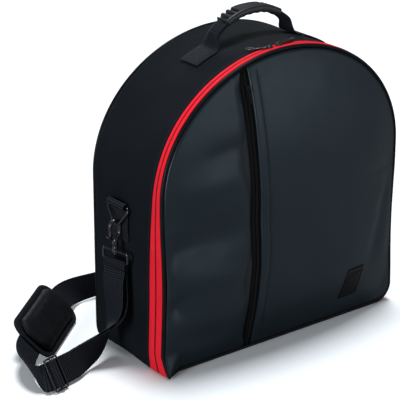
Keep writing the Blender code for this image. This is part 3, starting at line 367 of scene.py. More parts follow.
def flare(height):
    """How far the zipper line swings back on the sides."""
    return SIDE_TAPE_GROWTH * smooth_share((FLARE_TOP - height) / (FLARE_TOP - FLARE_BOTTOM))


def lid_tape_back(height):
    """The depth at which the lid's tape ends; the next two are where the body's tape begins and ends."""
    return LID_TAPE_FRONT + ARCH_TAPE + flare(height)


def body_tape_front(height):
    return lid_tape_back(height) + SLIT


def body_tape_back(height):
    return body_tape_front(height) + ARCH_TAPE + flare(height)


def pinched(point):
    """Draws the front of both sides in a little, where the cloth slackens between the base and the arch."""
    x, y, z = point
    tall = max(1 - ((z - PINCH_Z) / PINCH_REACH) ** 2, 0) ** 2
    near = smooth_share((0.02 - y) / (0.02 - FRONT_EDGE))
    shift = math.copysign(SIDE_PINCH * tall * near * smooth_share(abs(x) / HALF_WIDTH), x)
    return Vector((x - shift, y, z)) + corner_shift(x, y, z)


def corner_shift(x, y, z):
    """Pushes the left lower corner out where the bag's weight squares it on the floor, most at the front."""
    out, low = x + HALF_WIDTH - CORNER_RADIUS, CORNER_RADIUS - z
    if out >= 0 or low <= 0:
        return Vector((0, 0, 0))
    reach = math.hypot(out, low) / CORNER_RADIUS
    slant = math.sin(2 * math.atan2(low, -out))
    size = slant * smooth_share(reach) * (0.45 + 0.55 * smooth_share((0.03 - y) / 0.09))
    push = CORNER_PUSH * size * smooth_share((-0.04 - y) / 0.04)
    return Vector((-(x + HALF_WIDTH) * CORNER_SQUASH_SHARE * size, -push, -z * CORNER_SQUASH_SHARE * size))


def band(name, section, materials, whole=True, faces_of=None):
    """A strip round the outline; section gives its corners as inset and depth at a height."""
    heights = [z for _, z in outline(0, whole)]
    edges = {}
    rings = []
    for index, height in enumerate(heights):
        ring = []
        for inset, depth in section(index, height):
            key = round(inset, 5)
            if key not in edges:
                edges[key] = outline(key, whole)
            x, z = edges[key][index]
            ring.append(pinched((x, depth, z)))
        rings.append(ring)
    return loft(name, rings, materials, joined=whole, faces_of=faces_of)


def bulge(share):
    """How far the front cloth is domed at a share of the way out from its middle."""
    return PANEL_BULGE * (1 - share ** BULGE_POWER)


def edge_share(x, z):
    """The share of the way from the panel's middle to the outline at which a point of the panel lies."""
    side = abs(x) / HALF_WIDTH
    drop = z - PANEL_CENTRE_Z
    if drop < 0:
        return (side ** SHARE_POWER + (-drop / PANEL_CENTRE_Z) ** SHARE_POWER) ** (1 / SHARE_POWER)
    a = side ** 2 + (drop / ARCH_RISE) ** 2
    b = 2 * drop * (PANEL_CENTRE_Z - SIDE_HEIGHT) / ARCH_RISE ** 2
    c = ((PANEL_CENTRE_Z - SIDE_HEIGHT) / ARCH_RISE) ** 2 - 1
    return max(side, 2 * a / (-b + math.sqrt(b * b - 4 * a * c))) if a > 0 else side


def skin_share(x, z):
    """The share of the way from the panel's middle to the rim of the skin, at most 1."""
    return min(edge_share(x, z) / SKIN_REACH, 1)


def rim_ease(x, z, width=0.1):
    """Falls from 1 to 0 over the skin's rim, where the cloth keeps its even shape."""
    return 1 - smooth_share((skin_share(x, z) - (1 - width)) / width)


def seam_x(z):
    """Where the pocket's slanted seam runs."""
    return SEAM_BASE_X + (SEAM_TOP_X - SEAM_BASE_X) * z / BAG_HEIGHT


def arch_height(x):
    return SIDE_HEIGHT + ARCH_RISE * math.sqrt(max(1 - (x / HALF_WIDTH) ** 2, 0))


def dented(x, z):
    """How far the front cloth lies back from its even bulge, with its soft dents and waves."""
    depth = 0.0
    for (middle_x, middle_z), (wide, tall), deep, degrees in DENTS:
        turn = math.radians(degrees)
        dx, dz = x - middle_x, z - middle_z
        u = (dx * math.cos(turn) + dz * math.sin(turn)) / wide
        w = (dz * math.cos(turn) - dx * math.sin(turn)) / tall
        depth += deep * math.exp(-(u * u + w * w))
    depth += 0.0009 * noise.noise(Vector((x * 11, z * 7, 3.1))) + 0.0004 * noise.noise(Vector((x * 31, z * 19, 8.7)))
    return depth


def front_depth(x, z, surface):
    """The depth of the front cloth at a point, which keeps its even shape at the rim."""
    return surface - bulge(skin_share(x, z)) + dented(x, z) * rim_ease(x, z, 0.09)


def add_node(tree, kind, settings=None, **inputs):
    """A new node with its settings, and its inputs linked or set. i0 stands for its first input."""
    node = tree.nodes.new(kind)
    for key, value in (settings or {}).items():
        setattr(node, key, value)
    for key, value in inputs.items():
        socket = node.inputs[int(key[1:]) if key[0] == "i" and key[1:].isdigit() else key]
        if isinstance(value, bpy.types.NodeSocket):
            tree.links.new(value, socket)
        else:
            socket.default_value = value
    return node


# Where a pattern lies: the kind of map, its scale, and its turn in degrees
OBJECT = ("Object", 1, 0)
CLOTH_MAP = ("UV", 1000, 0)
SLANTED_MAP = ("UV", 1000, 45)
DEFAULT_TINT = (1, 1, 1)


def pattern(tree, kind, where, scale, *details):
    """One field of a finish: noise, waves or small cells, at a place on the piece."""
    coordinates, stretch, degrees = where
    spot = add_node(tree, "ShaderNodeMapping", Vector=add_node(tree, "ShaderNodeTexCoord").outputs[coordinates],
                    Scale=(stretch,) * 3, Rotation=(0, 0, math.radians(degrees))).outputs["Vector"]
    if kind == "noise":
        detail, rough = (details + (0.5,))[:2]
        return add_node(tree, "ShaderNodeTexNoise", Vector=spot, Scale=scale, Detail=detail,
                        Roughness=rough).outputs["Fac"]
    if kind == "cells":
        return add_node(tree, "ShaderNodeTexVoronoi", Vector=spot, Scale=scale).outputs["Distance"]
    direction, distortion = (details + (0.0,))[:2]
    return add_node(tree, "ShaderNodeTexWave", {"bands_direction": direction}, Vector=spot, Scale=scale,
                    Distortion=distortion).outputs["Fac"]


def calculate(tree, operation, first, second):
    return add_node(tree, "ShaderNodeMath", {"operation": operation}, i0=first, i1=second).outputs[0]


def new_finish(name, base, roughness, fields, ramp, spread=None, bumps=(), metallic=0.0, specular=0.5, sheen=0.0,
           coat=0.0, coat_roughness=0.2, tint=DEFAULT_TINT):
    """A finish: its fields, the colour ramp and roughness range that they drive, and bumps one on the other.

    A field is a pattern, the product of two fields or a weighted sum. A bump has its depth in metres and
    its strength."""
    material = bpy.data.materials.new(name)
    material.use_nodes = True
    tree = material.node_tree
    shader = tree.nodes["Principled BSDF"].inputs
    for key, value in (("Base Color", (*base, 1)), ("Roughness", roughness), ("Metallic", metallic),
                       ("Specular IOR Level", specular), ("Specular Tint", (*tint, 1)), ("Sheen Weight", sheen),
                       ("Sheen Roughness", 0.4), ("Coat Weight", coat), ("Coat Roughness", coat_roughness)):
        shader[key].default_value = value
    values = {}
    for key, (kind, *given) in fields.items():
        if kind == "product":
            values[key] = calculate(tree, "MULTIPLY", values[given[0]], values[given[1]])
        elif kind == "sum":
            parts = [calculate(tree, "MULTIPLY", values[field], weight) for field, weight in given]
            total = parts[0]
            for part in parts[1:]:
                total = calculate(tree, "ADD", total, part)
            values[key] = total
        else:
            values[key] = pattern(tree, kind, *given)
    field, *stops = ramp
    node = add_node(tree, "ShaderNodeValToRGB", Fac=values[field])
    while len(node.color_ramp.elements) < len(stops):
        node.color_ramp.elements.new(0.5)
    for element, (position, colour) in zip(node.color_ramp.elements, stops):
        element.position = position
        element.color = (*colour, 1)
    tree.links.new(node.outputs["Color"], shader["Base Color"])
    if spread:
        field, low, high = spread
        node = add_node(tree, "ShaderNodeMapRange", i0=values[field], i3=low, i4=high)
        tree.links.new(node.outputs[0], shader["Roughness"])
    normal = None
    for field, depth, strength in bumps:
        node = add_node(tree, "ShaderNodeBump", Height=values[field], Distance=depth, Strength=strength)
        if normal:
            tree.links.new(normal, node.inputs["Normal"])
        normal = node.outputs["Normal"]
    if normal:
        tree.links.new(normal, shader["Normal"])
    return material


def woven_tape(name, low, high, rough):
    """Zipper tape: fine ribs along it and a herringbone between them."""
    return new_finish(name, high, rough, {
        "ribs": ("wave", CLOTH_MAP, 0.50, "X"), "slant": ("wave", SLANTED_MAP, 0.55, "X", 0.2),
        "cloud": ("noise", OBJECT, 30, 3), "shade": ("sum", ("slant", 0.35), ("cloud", 0.65))},
        ("shade", (0.2, low), (0.8, high)), ("slant", rough - 0.1, rough + 0.08),
        (("ribs", 0.00016, 0.5), ("slant", 0.00010, 0.5)), specular=0.12)


def zip_teeth(name, low, high):
    return new_finish(name, high, 0.42, {"spots": ("noise", OBJECT, 400, 2), "worn": ("noise", OBJECT, 200, 2)},
                  ("spots", (0.3, low), (0.7, high)), ("worn", 0.34, 0.50))


# Smooth coated cloth: a satin face over a fine even grain, a little cloudy
COATED = new_finish("coated_cloth", (0.010, 0.0155, 0.0210), 0.40, {
    "cloud": ("noise", OBJECT, 14, 4), "fine": ("noise", OBJECT, 900, 2), "worn": ("noise", OBJECT, 40, 3),
    "cells": ("cells", OBJECT, 1100), "waves": ("noise", OBJECT, 60, 2)},
    ("cloud", (0.3, (0.0060, 0.0102, 0.0142)), (0.7, (0.0090, 0.0145, 0.0195))), ("worn", 0.36, 0.47),
    (("cells", 0.00004, 0.5), ("fine", 0.00003, 0.4), ("waves", 0.0003, 0.12)), specular=0.42,
    tint=(0.74, 0.91, 1.0))
# Matt nylon twill with a fine slanted weave that follows the cloth
TWILL = new_finish("nylon_twill", (0.010, 0.011, 0.015), 0.82, {
    "ribs": ("wave", ("UV", 1000, 32), 0.55, "X", 0.6), "threads": ("wave", CLOTH_MAP, 0.9, "Y", 0.3),
    "weave": ("product", "ribs", "threads"), "cords": ("wave", ("UV", 1000, 4), 0.105, "X", 0.8),
    "cloud": ("noise", OBJECT, 18, 4), "waves": ("noise", OBJECT, 45, 3),
    "shade": ("sum", ("weave", 0.30), ("cloud", 0.6), ("cords", 0.22))},
    ("shade", (0.15, (0.0022, 0.0030, 0.0042)), (0.85, (0.0098, 0.0122, 0.0160))), ("cloud", 0.74, 0.92),
    (("weave", 0.00022, 0.7), ("waves", 0.0006, 0.16)), specular=0.09, sheen=0.01)
LINING_CLOTH = new_finish("lining_cloth", (0.028, 0.028, 0.032), 0.9, {
    "one_way": ("wave", OBJECT, 260, "X"), "other_way": ("wave", OBJECT, 260, "Z"),
    "weave": ("product", "one_way", "other_way"), "cloud": ("noise", OBJECT, 22, 4)},
    ("cloud", (0.3, (0.022, 0.022, 0.026)), (0.7, (0.036, 0.036, 0.041))), ("cloud", 0.82, 0.95),
    (("weave", 0.00012, 0.6), ("cloud", 0.0009, 0.15)), specular=0.25, sheen=0.10)
RED_TAPE = woven_tape("red_zip_tape", (0.780, 0.009, 0.023), (0.960, 0.020, 0.038), 0.62)
BLACK_TAPE = woven_tape("black_zip_tape", (0.0014, 0.0013, 0.0013), (0.0038, 0.0033, 0.0033), 0.80)
# Flat webbing: square ribs across it and fine lines along it, painted paler and bluer on the raised crossings as a
# painted highlight and darker between them as painted shade
WEBBING_PAINTED_LIGHT = new_finish("webbing_weave_painted_light", (0.012, 0.013, 0.017), 0.7, {
    "across": ("wave", CLOTH_MAP, 0.098, "Y"), "along": ("wave", CLOTH_MAP, 0.105, "X"),
    "grid": ("product", "across", "along"), "fine": ("noise", CLOTH_MAP, 1.6, 2),
    "shade": ("sum", ("grid", 0.75), ("fine", 0.3))},
    # The ramp's pale bluish top stop is a painted highlight on the weave's crossings; its dark bottom stop is painted
    # shade between them
    ("shade", (0.12, (0.0015, 0.0018, 0.0028)), (0.42, (0.0042, 0.0050, 0.0075)), (0.85, (0.036, 0.043, 0.060))),
    ("fine", 0.6, 0.8), (("grid", 0.00045, 0.8), ("fine", 0.0001, 0.4)), specular=0.14, sheen=0.02)
BINDING = new_finish("ribbed_binding", (0.006, 0.006, 0.008), 0.6, {
    "ribs": ("wave", CLOTH_MAP, 0.28, "Y"), "worn": ("noise", CLOTH_MAP, 0.2, 2)},
    ("ribs", (0.2, (0.003, 0.003, 0.0045)), (0.9, (0.009, 0.0095, 0.012))), ("worn", 0.55, 0.75),
    (("ribs", 0.0002, 0.7),), specular=0.14)
# The pad's cover: close-woven cloth, softly napped
PAD_TURNED = ("Object", 1, -40)
PAD_COVER = new_finish("pad_cover", (0.003, 0.0032, 0.005), 0.62, {
    "one_way": ("wave", PAD_TURNED, 330, "X"), "other_way": ("wave", PAD_TURNED, 330, "Z"),
    "weave": ("product", "one_way", "other_way"), "cloud": ("noise", PAD_TURNED, 35, 4),
    "waves": ("noise", PAD_TURNED, 120, 3)},
    ("cloud", (0.3, (0.0012, 0.0012, 0.0020)), (0.75, (0.0032, 0.0034, 0.0052))), ("cloud", 0.55, 0.78),
    (("weave", 0.00012, 0.6), ("waves", 0.0005, 0.18)), specular=0.14)
RUBBER = new_finish("moulded_rubber", (0.012, 0.0125, 0.015), 0.36, {
    "fine": ("noise", OBJECT, 700, 3), "cloud": ("noise", OBJECT, 60, 3), "worn": ("noise", OBJECT, 130, 3)},
    ("cloud", (0.3, (0.009, 0.0095, 0.011)), (0.7, (0.016, 0.0165, 0.0195))), ("worn", 0.30, 0.52),
    (("fine", 0.00008, 0.5),), specular=0.5)
# Black satin paint on metal, rubbed a little on its high places
PAINT = new_finish("black_painted_metal", (0.008, 0.008, 0.010), 0.22, {
    "wear": ("noise", OBJECT, 380, 5, 0.7), "fine": ("noise", OBJECT, 900, 2)},
    ("wear", (0.35, (0.006, 0.006, 0.008)), (0.66, (0.012, 0.012, 0.014)), (0.85, (0.045, 0.045, 0.050))),
    ("wear", 0.16, 0.36), (("fine", 0.00004, 0.4),), specular=0.5, coat=0.3, coat_roughness=0.10)
# The thin matt coat of the small pocket slider, painted darker than the other black metal as painted shade, since it
# sits deep in the seam's shadow
SHADED_SLIDER_PAINT = new_finish("dull_black_metal_painted_shade", (0.003, 0.003, 0.004), 0.6, {"wear": ("noise", OBJECT, 420, 4)},
                    ("wear", (0.35, (0.002, 0.002, 0.0026)), (0.8, (0.006, 0.006, 0.007))), ("wear", 0.5, 0.75),
                    specular=0.16)
PIPING = new_finish("gloss_piping", (0.003, 0.003, 0.004), 0.40, {
    "cloud": ("noise", OBJECT, 50, 3), "worn": ("noise", OBJECT, 90, 3), "waves": ("noise", OBJECT, 260, 3)},
    ("cloud", (0.3, (0.002, 0.002, 0.003)), (0.7, (0.005, 0.005, 0.0065))), ("worn", 0.36, 0.52),
    (("waves", 0.0002, 0.25),), specular=0.15)
RED_TEETH = zip_teeth("red_zip_teeth", (0.44, 0.006, 0.014), (0.66, 0.014, 0.028))
BLACK_TEETH = zip_teeth("black_zip_teeth", (0.0016, 0.0014, 0.0014), (0.0042, 0.0036, 0.0036))
THREAD = new_finish("sewing_thread", (0.018, 0.020, 0.025), 0.6, {"twist": ("wave", OBJECT, 900, "DIAGONAL")},
                ("twist", (0.2, (0.011, 0.012, 0.015)), (0.8, (0.026, 0.028, 0.034))),
                bumps=(("twist", 0.0001, 0.5),), specular=0.3, sheen=0.05)
EMBOSSED = new_finish("embossed_gloss", (0.001, 0.001, 0.0015), 0.24, {
    "cloud": ("noise", OBJECT, 80, 3), "worn": ("noise", OBJECT, 180, 4), "fine": ("noise", OBJECT, 500, 3)},
    ("cloud", (0.3, (0.0008, 0.0008, 0.0012)), (0.7, (0.0018, 0.0018, 0.0024))), ("worn", 0.20, 0.36),
    (("fine", 0.00008, 0.4),), specular=0.16)


def rows_tree(name, labels, make_piece):
    """A Geometry Nodes tree that lays small pieces in a row on each line of a mesh.

    It resamples the lines, turns each piece to its line, places it, makes it real and gives it its finish."""
    tree = bpy.data.node_groups.new(name, "GeometryNodeTree")
    face = tree.interface
    face.new_socket("Lines", in_out="INPUT", socket_type="NodeSocketGeometry")
    for label, value in zip(("Pitch", *labels), (0.003, 0.002, 0.0004)):
        face.new_socket(label, in_out="INPUT", socket_type="NodeSocketFloat").default_value = value
    face.new_socket("Finish", in_out="INPUT", socket_type="NodeSocketMaterial")
    face.new_socket("Pieces", in_out="OUTPUT", socket_type="NodeSocketGeometry")
    given = add_node(tree, "NodeGroupInput").outputs
    lines = add_node(tree, "GeometryNodeMeshToCurve", i0=given["Lines"]).outputs[0]
    spots = add_node(tree, "GeometryNodeResampleCurve", {"mode": "LENGTH"}, Curve=lines, Length=given["Pitch"])
    tangent = add_node(tree, "GeometryNodeInputTangent").outputs[0]
    outward = add_node(tree, "GeometryNodeInputNamedAttribute", {"data_type": "FLOAT_VECTOR"}, Name="outward")
    first = add_node(tree, "FunctionNodeAlignRotationToVector", {"axis": "X"}, Vector=tangent)
    second = add_node(tree, "FunctionNodeAlignRotationToVector", {"axis": "Z", "pivot_axis": "X"},
                      Rotation=first.outputs[0], Vector=outward.outputs["Attribute"])
    rows = add_node(tree, "GeometryNodeInstanceOnPoints", Points=spots.outputs[0],
                    Instance=make_piece(tree, given), Rotation=second.outputs[0])
    real = add_node(tree, "GeometryNodeRealizeInstances", i0=rows.outputs[0])
    dressed = add_node(tree, "GeometryNodeSetMaterial", Geometry=real.outputs[0], Material=given["Finish"])
    add_node(tree, "NodeGroupOutput", i0=dressed.outputs[0])
    return tree


def stitch(tree, given):
    """A short plump thread that lies along the line."""
    length, thickness = given["Stitch Length"], given["Thread Thickness"]
    bead = add_node(tree, "GeometryNodeMeshUVSphere", Segments=6, Rings=4, Radius=0.5)
    size = add_node(tree, "ShaderNodeCombineXYZ", i0=length, i1=thickness, i2=thickness)
    return add_node(tree, "GeometryNodeTransform", Geometry=bead.outputs["Mesh"], Scale=size.outputs[0]).outputs[0]


def tooth(tree, given):
    """One oval turn of the zipper's coil, across the line."""
    width = given["Tooth Width"]
    size = add_node(tree, "ShaderNodeCombineXYZ", i0=width, i1=calculate(tree, "MULTIPLY", width, 0.55), i2=1.0)
    turn = add_node(tree, "GeometryNodeCurvePrimitiveCircle", Resolution=8, Radius=0.5)
    oval = add_node(tree, "GeometryNodeTransform", Geometry=turn.outputs[0], Scale=size.outputs[0])
    wire = add_node(tree, "GeometryNodeCurvePrimitiveCircle", Resolution=4,
                    Radius=calculate(tree, "MULTIPLY", given["Wire Thickness"], 0.5))
    body = add_node(tree, "GeometryNodeCurveToMesh", i0=oval.outputs[0], i1=wire.outputs[0])
    return add_node(tree, "GeometryNodeTransform", Geometry=body.outputs[0],
                    Rotation=(math.radians(90), 0, math.radians(90))).outputs[0]


STITCH_TREE = rows_tree("sewn_stitches", ("Stitch Length", "Thread Thickness"), stitch)
TEETH_TREE = rows_tree("coil_teeth", ("Tooth Width", "Wire Thickness"), tooth)


def row_on(tree, name, lines, pitch, length, thickness, material):
    """Small pieces in rows along lines of (place, outward direction) pairs, made one plain mesh."""
    points, edges, outward = [], [], []
    for line in lines:
        first = len(points)
        points += [tuple(place) for place, _ in line]
        outward += [tuple(out) for _, out in line]
        edges += [(first + step, first + step + 1) for step in range(len(line) - 1)]
    mesh = bpy.data.meshes.new(name)
    mesh.from_pydata(points, edges, [])
    layer = mesh.attributes.new("outward", "FLOAT_VECTOR", "POINT")
    layer.data.foreach_set("vector", np.asarray(outward, np.float32).ravel())
    item = scene_object(name, mesh)
    modifier = item.modifiers.new("rows", "NODES")
    modifier.node_group = tree
    sockets = [socket.identifier for socket in tree.interface.items_tree
               if socket.in_out == "INPUT" and socket.socket_type != "NodeSocketGeometry"]
    for identifier, value in zip(sockets, (pitch, length, thickness, material)):
        modifier[identifier] = value
    item.data = plain_mesh(item)
    item.data.shade_smooth()
    return turned_out(item)


def sewn(name, lines, body, pitch=STITCH_PITCH, length=STITCH_LENGTH, thickness=THREAD_THICKNESS):
    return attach(row_on(STITCH_TREE, name, lines, pitch, length, thickness, THREAD), body)


def outward_of(line):
    """The direction away from the bag at each point of its outline."""
    found = []
    for index, (ax, az) in enumerate(line[-1:] + line[:-1]):
        bx, bz = line[(index + 1) % len(line)]
        found.append(Vector((bz - az, 0, ax - bx)).normalized())
    return found


OUTLINE = outline(0)
OUTWARD = outward_of(OUTLINE)




def wall_sag(index, height, share):
    """How far the side wall sinks between its seams, with its slow waves, kept flat on the base."""
    x, z = OUTLINE[index]
    lifted = smooth_share((height - 0.004) / 0.04)
    across = math.sin(math.pi * share)
    wave = 0.0011 * noise.noise(Vector((x * 13, share * 1.3, z * 13)))
    wave += 0.0005 * noise.noise(Vector((x * 40, share * 4.1, z * 40)))
    # The cloth stays flat under the handle's feet and the side tabs
    if z > SIDE_HEIGHT:
        held = smooth_share((abs(x) - 0.045) / 0.02) * smooth_share((0.150 - abs(x)) / 0.02)
    else:
        held = smooth_share((z - 0.155) / 0.02) * smooth_share((0.250 - z) / 0.02)
    held *= smooth_share((share - 0.06) / 0.08) * smooth_share((0.56 - share) / 0.10)
    return across * (WALL_SAG + wave) * lifted * (1 - held)


# Where the side wall has points, as shares of its depth: close together at both seams
WALL_SHARES = (0.0, 0.012, 0.03, 0.045, 0.06, 0.075, 0.10, 0.16, 0.25, 0.35, 0.45, 0.55, 0.65, 0.75, 0.84, 0.91,
               0.95, 0.975, 1.0)


def side_wall():
    """The padded wall that runs all round: twill outside with a folded front hem, lining inside."""
    def section(index, height):
        front = body_tape_back(height) - 0.0006
        inner_front = body_tape_front(height) + SLIDER_ROOM
        points = []
        for share in WALL_SHARES:
            hem = 0.0005 * smooth_share((0.055 - share) / 0.02) - 0.0004 * math.exp(-((share - 0.066) / 0.012) ** 2)
            end = 0.0014 * (smooth_share((0.008 - share) / 0.008) + smooth_share((share - 0.985) / 0.015))
            points.append((wall_sag(index, height, share) - hem + end, front + (GUSSET_BACK - front) * share))
        points += [(0.006, GUSSET_BACK + 0.0002), (WALL, GUSSET_BACK - 0.0015), (WALL + 0.0002, GUSSET_BACK - 0.02)]
        points += [(WALL + 0.0002, inner_front + 0.006), (WALL - 0.0006, inner_front + 0.0012),
                   (WALL - 0.0035, inner_front), (0.0045, inner_front), (0.0026, inner_front + 0.0008)]
        return points

    marks = [0] * len(WALL_SHARES) + [1] * 8
    made = band("side_wall", section, [TWILL, LINING_CLOTH], faces_of=marks)
    put(made, "bag_body", "nylon", "gusset_shell", "gusset_foam", "gusset_lining")
    lines = [[(pinched((x, depth_at(z), z)) + out * rise, out) for (x, z), out in zip(OUTLINE, OUTWARD)
              if z > STITCH_FLOOR]
             for depth_at, rise in ((lambda z: body_tape_back(z) + WALL_STITCH, 0.0004),
                                    (lambda z: GUSSET_BACK - BACK_WALL_STITCH, 0))]
    sewn("wall_stitches", lines, "bag_body")


def plate_rings(inset, shares, depth_at):
    """Rings of a panel from its middle outwards, each point at a depth of its own."""
    def at(x, z, share):
        return pinched((x, depth_at(x, z, share), z))

    edge = outline(inset)
    return [[at(x * share, PANEL_CENTRE_Z + (z - PANEL_CENTRE_Z) * share, share) for x, z in edge] for share in shares]


def panel(name, inset, front_at, back_at, rings, materials, rim=()):
    """A closed panel: its front from the middle out, a rounded rim and its back to the middle again."""
    shares = [0.012] + [(step / rings) ** 0.8 for step in range(1, rings + 1)]
    front = plate_rings(inset, shares, front_at)
    back = plate_rings(inset, shares[::-1], back_at)
    middle = [plate_rings(inset + reach, [1.0], depth)[0] for reach, depth in rim]
    all_rings = front + middle + back
    size = len(all_rings[0])
    points = [point for ring in all_rings for point in ring]
    rows = len(all_rings) - 1
    faces = quads(rows, size) + [tuple(range(size)), tuple(range(rows * size, (rows + 1) * size))]
    outer = len(front) - 1 + len(middle) // 2
    lining = len(materials) - 1
    marks = [0] * (outer * size) + [lining] * ((rows - outer) * size) + [0, lining]
    uv = [(point.x, point.z) for point in points]
    return rounded_out(piece(name, points, faces, materials, uv=uv, faces_of=marks))


def back_wall():
    """The padded back: a twill face that swells a little, a bound rim and a lining."""
    def puff(x, z):
        soft = 0.0009 * noise.noise(Vector((x * 9, z * 9, 1.7))) + 0.0004 * noise.noise(Vector((x * 30, z * 30, 5)))
        return (BACK_PUFF + soft * 2) * (1 - skin_share(x, z) ** 3)

    inner = BACK_FOAM_FACE - PANEL_FOAM - LINING - CLEARANCE
    made = panel("back_wall", PANEL_INSET, lambda x, z, share: BACK_SKIN + CLOTH + puff(x, z),
                 lambda x, z, share: inner + 0.0012 * share ** 12 if share < 0.93 else BACK_FOAM_FACE, 34,
                 [TWILL, LINING_CLOTH], rim=((0.0004, lambda x, z, s: BACK_SKIN + CLOTH / 2),))
    put(made, "bag_body", "nylon", "back_panel", "back_foam", "back_lining")
    inside = outline(PANEL_INSET + BACK_STITCH)
    line = [(pinched((x, BACK_SKIN + CLOTH + puff(x, z) + 0.0001, z)), (0, 1, 0)) for x, z in inside + inside[:1]]
    sewn("back_stitches", [line], "bag_body")


def piping(name, depth, body, node):
    """A glossy cord in a sewn casing, along the outline."""
    def section(*_):
        return [(PIPING_RADIUS * (1 - math.cos(angle)), depth + PIPING_RADIUS * math.sin(angle))
                for angle in circle(PIPING_SIDES)]

    put(band(name, section, [PIPING]), body, "piping", node)


def front_skin(name, side, node):
    """One side of the front's coated cloth, rolled in along the pocket's zipper, domed and softly dented."""
    shares = [0.01] + [(step / SKIN_RINGS) for step in range(1, SKIN_RINGS + 1)]
    rings = plate_rings(PANEL_INSET, shares, lambda x, z, share: SKIN_FRONT)
    size = len(rings[0])
    bm = bmesh.new()
    rows = [[bm.verts.new(point) for point in ring] for ring in rings]
    for near, far in zip(rows, rows[1:]):
        for index in range(size):
            after = (index + 1) % size
            bm.faces.new((near[index], near[after], far[after], far[index]))
    bm.faces.new(rows[0])
    low = Vector((seam_x(0), 0, 0))
    high = Vector((seam_x(BAG_HEIGHT), 0, BAG_HEIGHT))
    normal = Vector((high.z - low.z, 0, low.x - high.x)).normalized() * side
    for reach in spread(SEAM_GAP / 2 + HEM_ROLL, SEAM_GAP / 2, 6) + FOLD_CUTS:
        geometry = bm.verts[:] + bm.edges[:] + bm.faces[:]
        bmesh.ops.bisect_plane(bm, geom=geometry, plane_co=low + normal * reach, plane_no=normal,
                               clear_inner=abs(reach - SEAM_GAP / 2) < 1e-7)
    for vertex in bm.verts:
        x, z = vertex.co.x, vertex.co.z
        away = (Vector((x, 0, z)) - low).dot(normal) - SEAM_GAP / 2
        roll = max(1 - away / HEM_ROLL, 0.0)
        ease = rim_ease(x, z)
        back = HEM_DROP * (1 - math.sqrt(max(1 - roll * roll, 0))) * (0.35 + 0.65 * ease)
        if side > 0:
            back += TOPSTITCH_RISE * math.exp(-((away - TOPSTITCH) / 0.0016) ** 2) * ease
            back -= TOPSTITCH_RISE * smooth_share((TOPSTITCH - away) / 0.004) * ease
        else:
            slack = math.exp(-((z - 0.285) / 0.036) ** 2) + math.exp(-((z - 0.112) / 0.034) ** 2)
            back += (0.0042 + 0.0034 * slack) * math.exp(-(away / (0.010 + 0.007 * slack)) ** 2) * ease
        vertex.co.y += front_depth(x, z, SKIN_FRONT) + back - SKIN_FRONT
    mesh = bpy.data.meshes.new(name)
    bm.to_mesh(mesh)
    bm.free()
    mesh.materials.append(COATED)
    mesh.shade_smooth()
    made = scene_object(name, mesh)
    turned_out(made, lambda sheet: sum(face.normal.y * face.calc_area() for face in sheet.faces) > 0, WELD)
    finished(made, ("SOLIDIFY", {"thickness": CLOTH, "offset": -1, "use_even_offset": False}))
    put(made, "lid", "coated_cloth", node)


def lid():
    """The front's two skins, the padding and lining behind them, and the pocket's topstitching."""
    front_skin("front_skin_left", -1, "front_panel_left")
    front_skin("front_skin_right", 1, "front_panel_right")
    padding_back = lid_tape_back(BAG_HEIGHT)

    def padding_front(x, z, _):
        return front_depth(x, z, SKIN_BACK) + 0.0032

    def quilted(x, z, share):
        return padding_back - 0.0025 * smooth_share((share - 0.93) / 0.07) + 0.0004 * noise.noise(
            Vector((x * 18, z * 18, 9.1)))

    made = panel("lid_padding", LID_INSET, padding_front, quilted, 30, [LINING_CLOTH, LINING_CLOTH])
    put(made, "lid", "lining", "pocket_lining", "lid_foam", "lid_lining")
    line = []
    for z in spread(0.008, arch_height(SEAM_TOP_X + 0.02) - 0.012, 199):
        x = seam_x(z) + SEAM_GAP / 2 + TOPSTITCH
        depth = front_depth(x, z, SKIN_FRONT) + TOPSTITCH_RISE * rim_ease(x, z) - 0.0002
        line.append((pinched((x, depth, z)), (0, -1, 0)))
    sewn("pocket_stitches", [line], "lid")


def tape(name, front_at, back_at, body, node, mark_side):
    """A strip of red zipper tape, plump along its middle, with a folded edge at the slit."""
    def section(_, height):
        front, back = front_at(height), back_at(height)
        points = []
        for share in spread(0, 1, 8):
            plump = math.sin(math.pi * share) ** 0.7 * 0.0007
            fold = share if mark_side > 0 else 1 - share
            dip = 0.0009 * smooth_share((fold - 0.86) / 0.14)
            points.append((dip - plump + 0.0002, front + (back - front) * share))
        points += [(TAPE_THICKNESS, back - 0.0002), (TAPE_THICKNESS, front + 0.0002)]
        return points

    put(band(name, section, [RED_TAPE], whole=False), body, "zip_tape", node)


def main_zipper():
    """Both tapes with their coil teeth on the inside, and the cloth hinge along the base."""
    tape("lid_tape", lambda _: LID_TAPE_FRONT - TAPE_TUCK, lid_tape_back, "lid", "lid_zip_tape", 1)
    tape("body_tape", body_tape_front, body_tape_back, "bag_body", "body_zip_tape", -1)
    edge = outline(COIL * 0.55, False)
    for name, body, node, depth_at in (
            ("lid_teeth", "lid", "lid_zip_coil", lambda z: lid_tape_back(z) - COIL * 0.42),
            ("body_teeth", "bag_body", "body_zip_coil", lambda z: body_tape_front(z) + COIL * 0.42)):
        line = [(pinched((x, depth_at(z), z)), out) for (x, z), out in zip(edge, OUTWARD)]
        teeth = row_on(TEETH_TREE, name, [line], *MAIN_TEETH, RED_TEETH)
        put(teeth, body, "zip_coil", node)
    width = HALF_WIDTH - CORNER_RADIUS - CLEARANCE
    front, back = LID_TAPE_FRONT, body_tape_back(0)
    rings = []
    for x in spread(-width, width, 40):
        ring = [(x, front + (back - front) * share, 0.0002 * (1 - math.sin(math.pi * share)))
                for share in (0, 0.08, 0.3, 0.5, 0.7, 0.92, 1)]
        ring += [(x, front + (back - front) * share, TAPE_THICKNESS) for share in (1, 0.7, 0.5, 0.3, 0)]
        rings.append(ring)
    put(loft("hinge_cloth", rings, [BINDING]), "bag_body", "nylon", "hinge_strip")


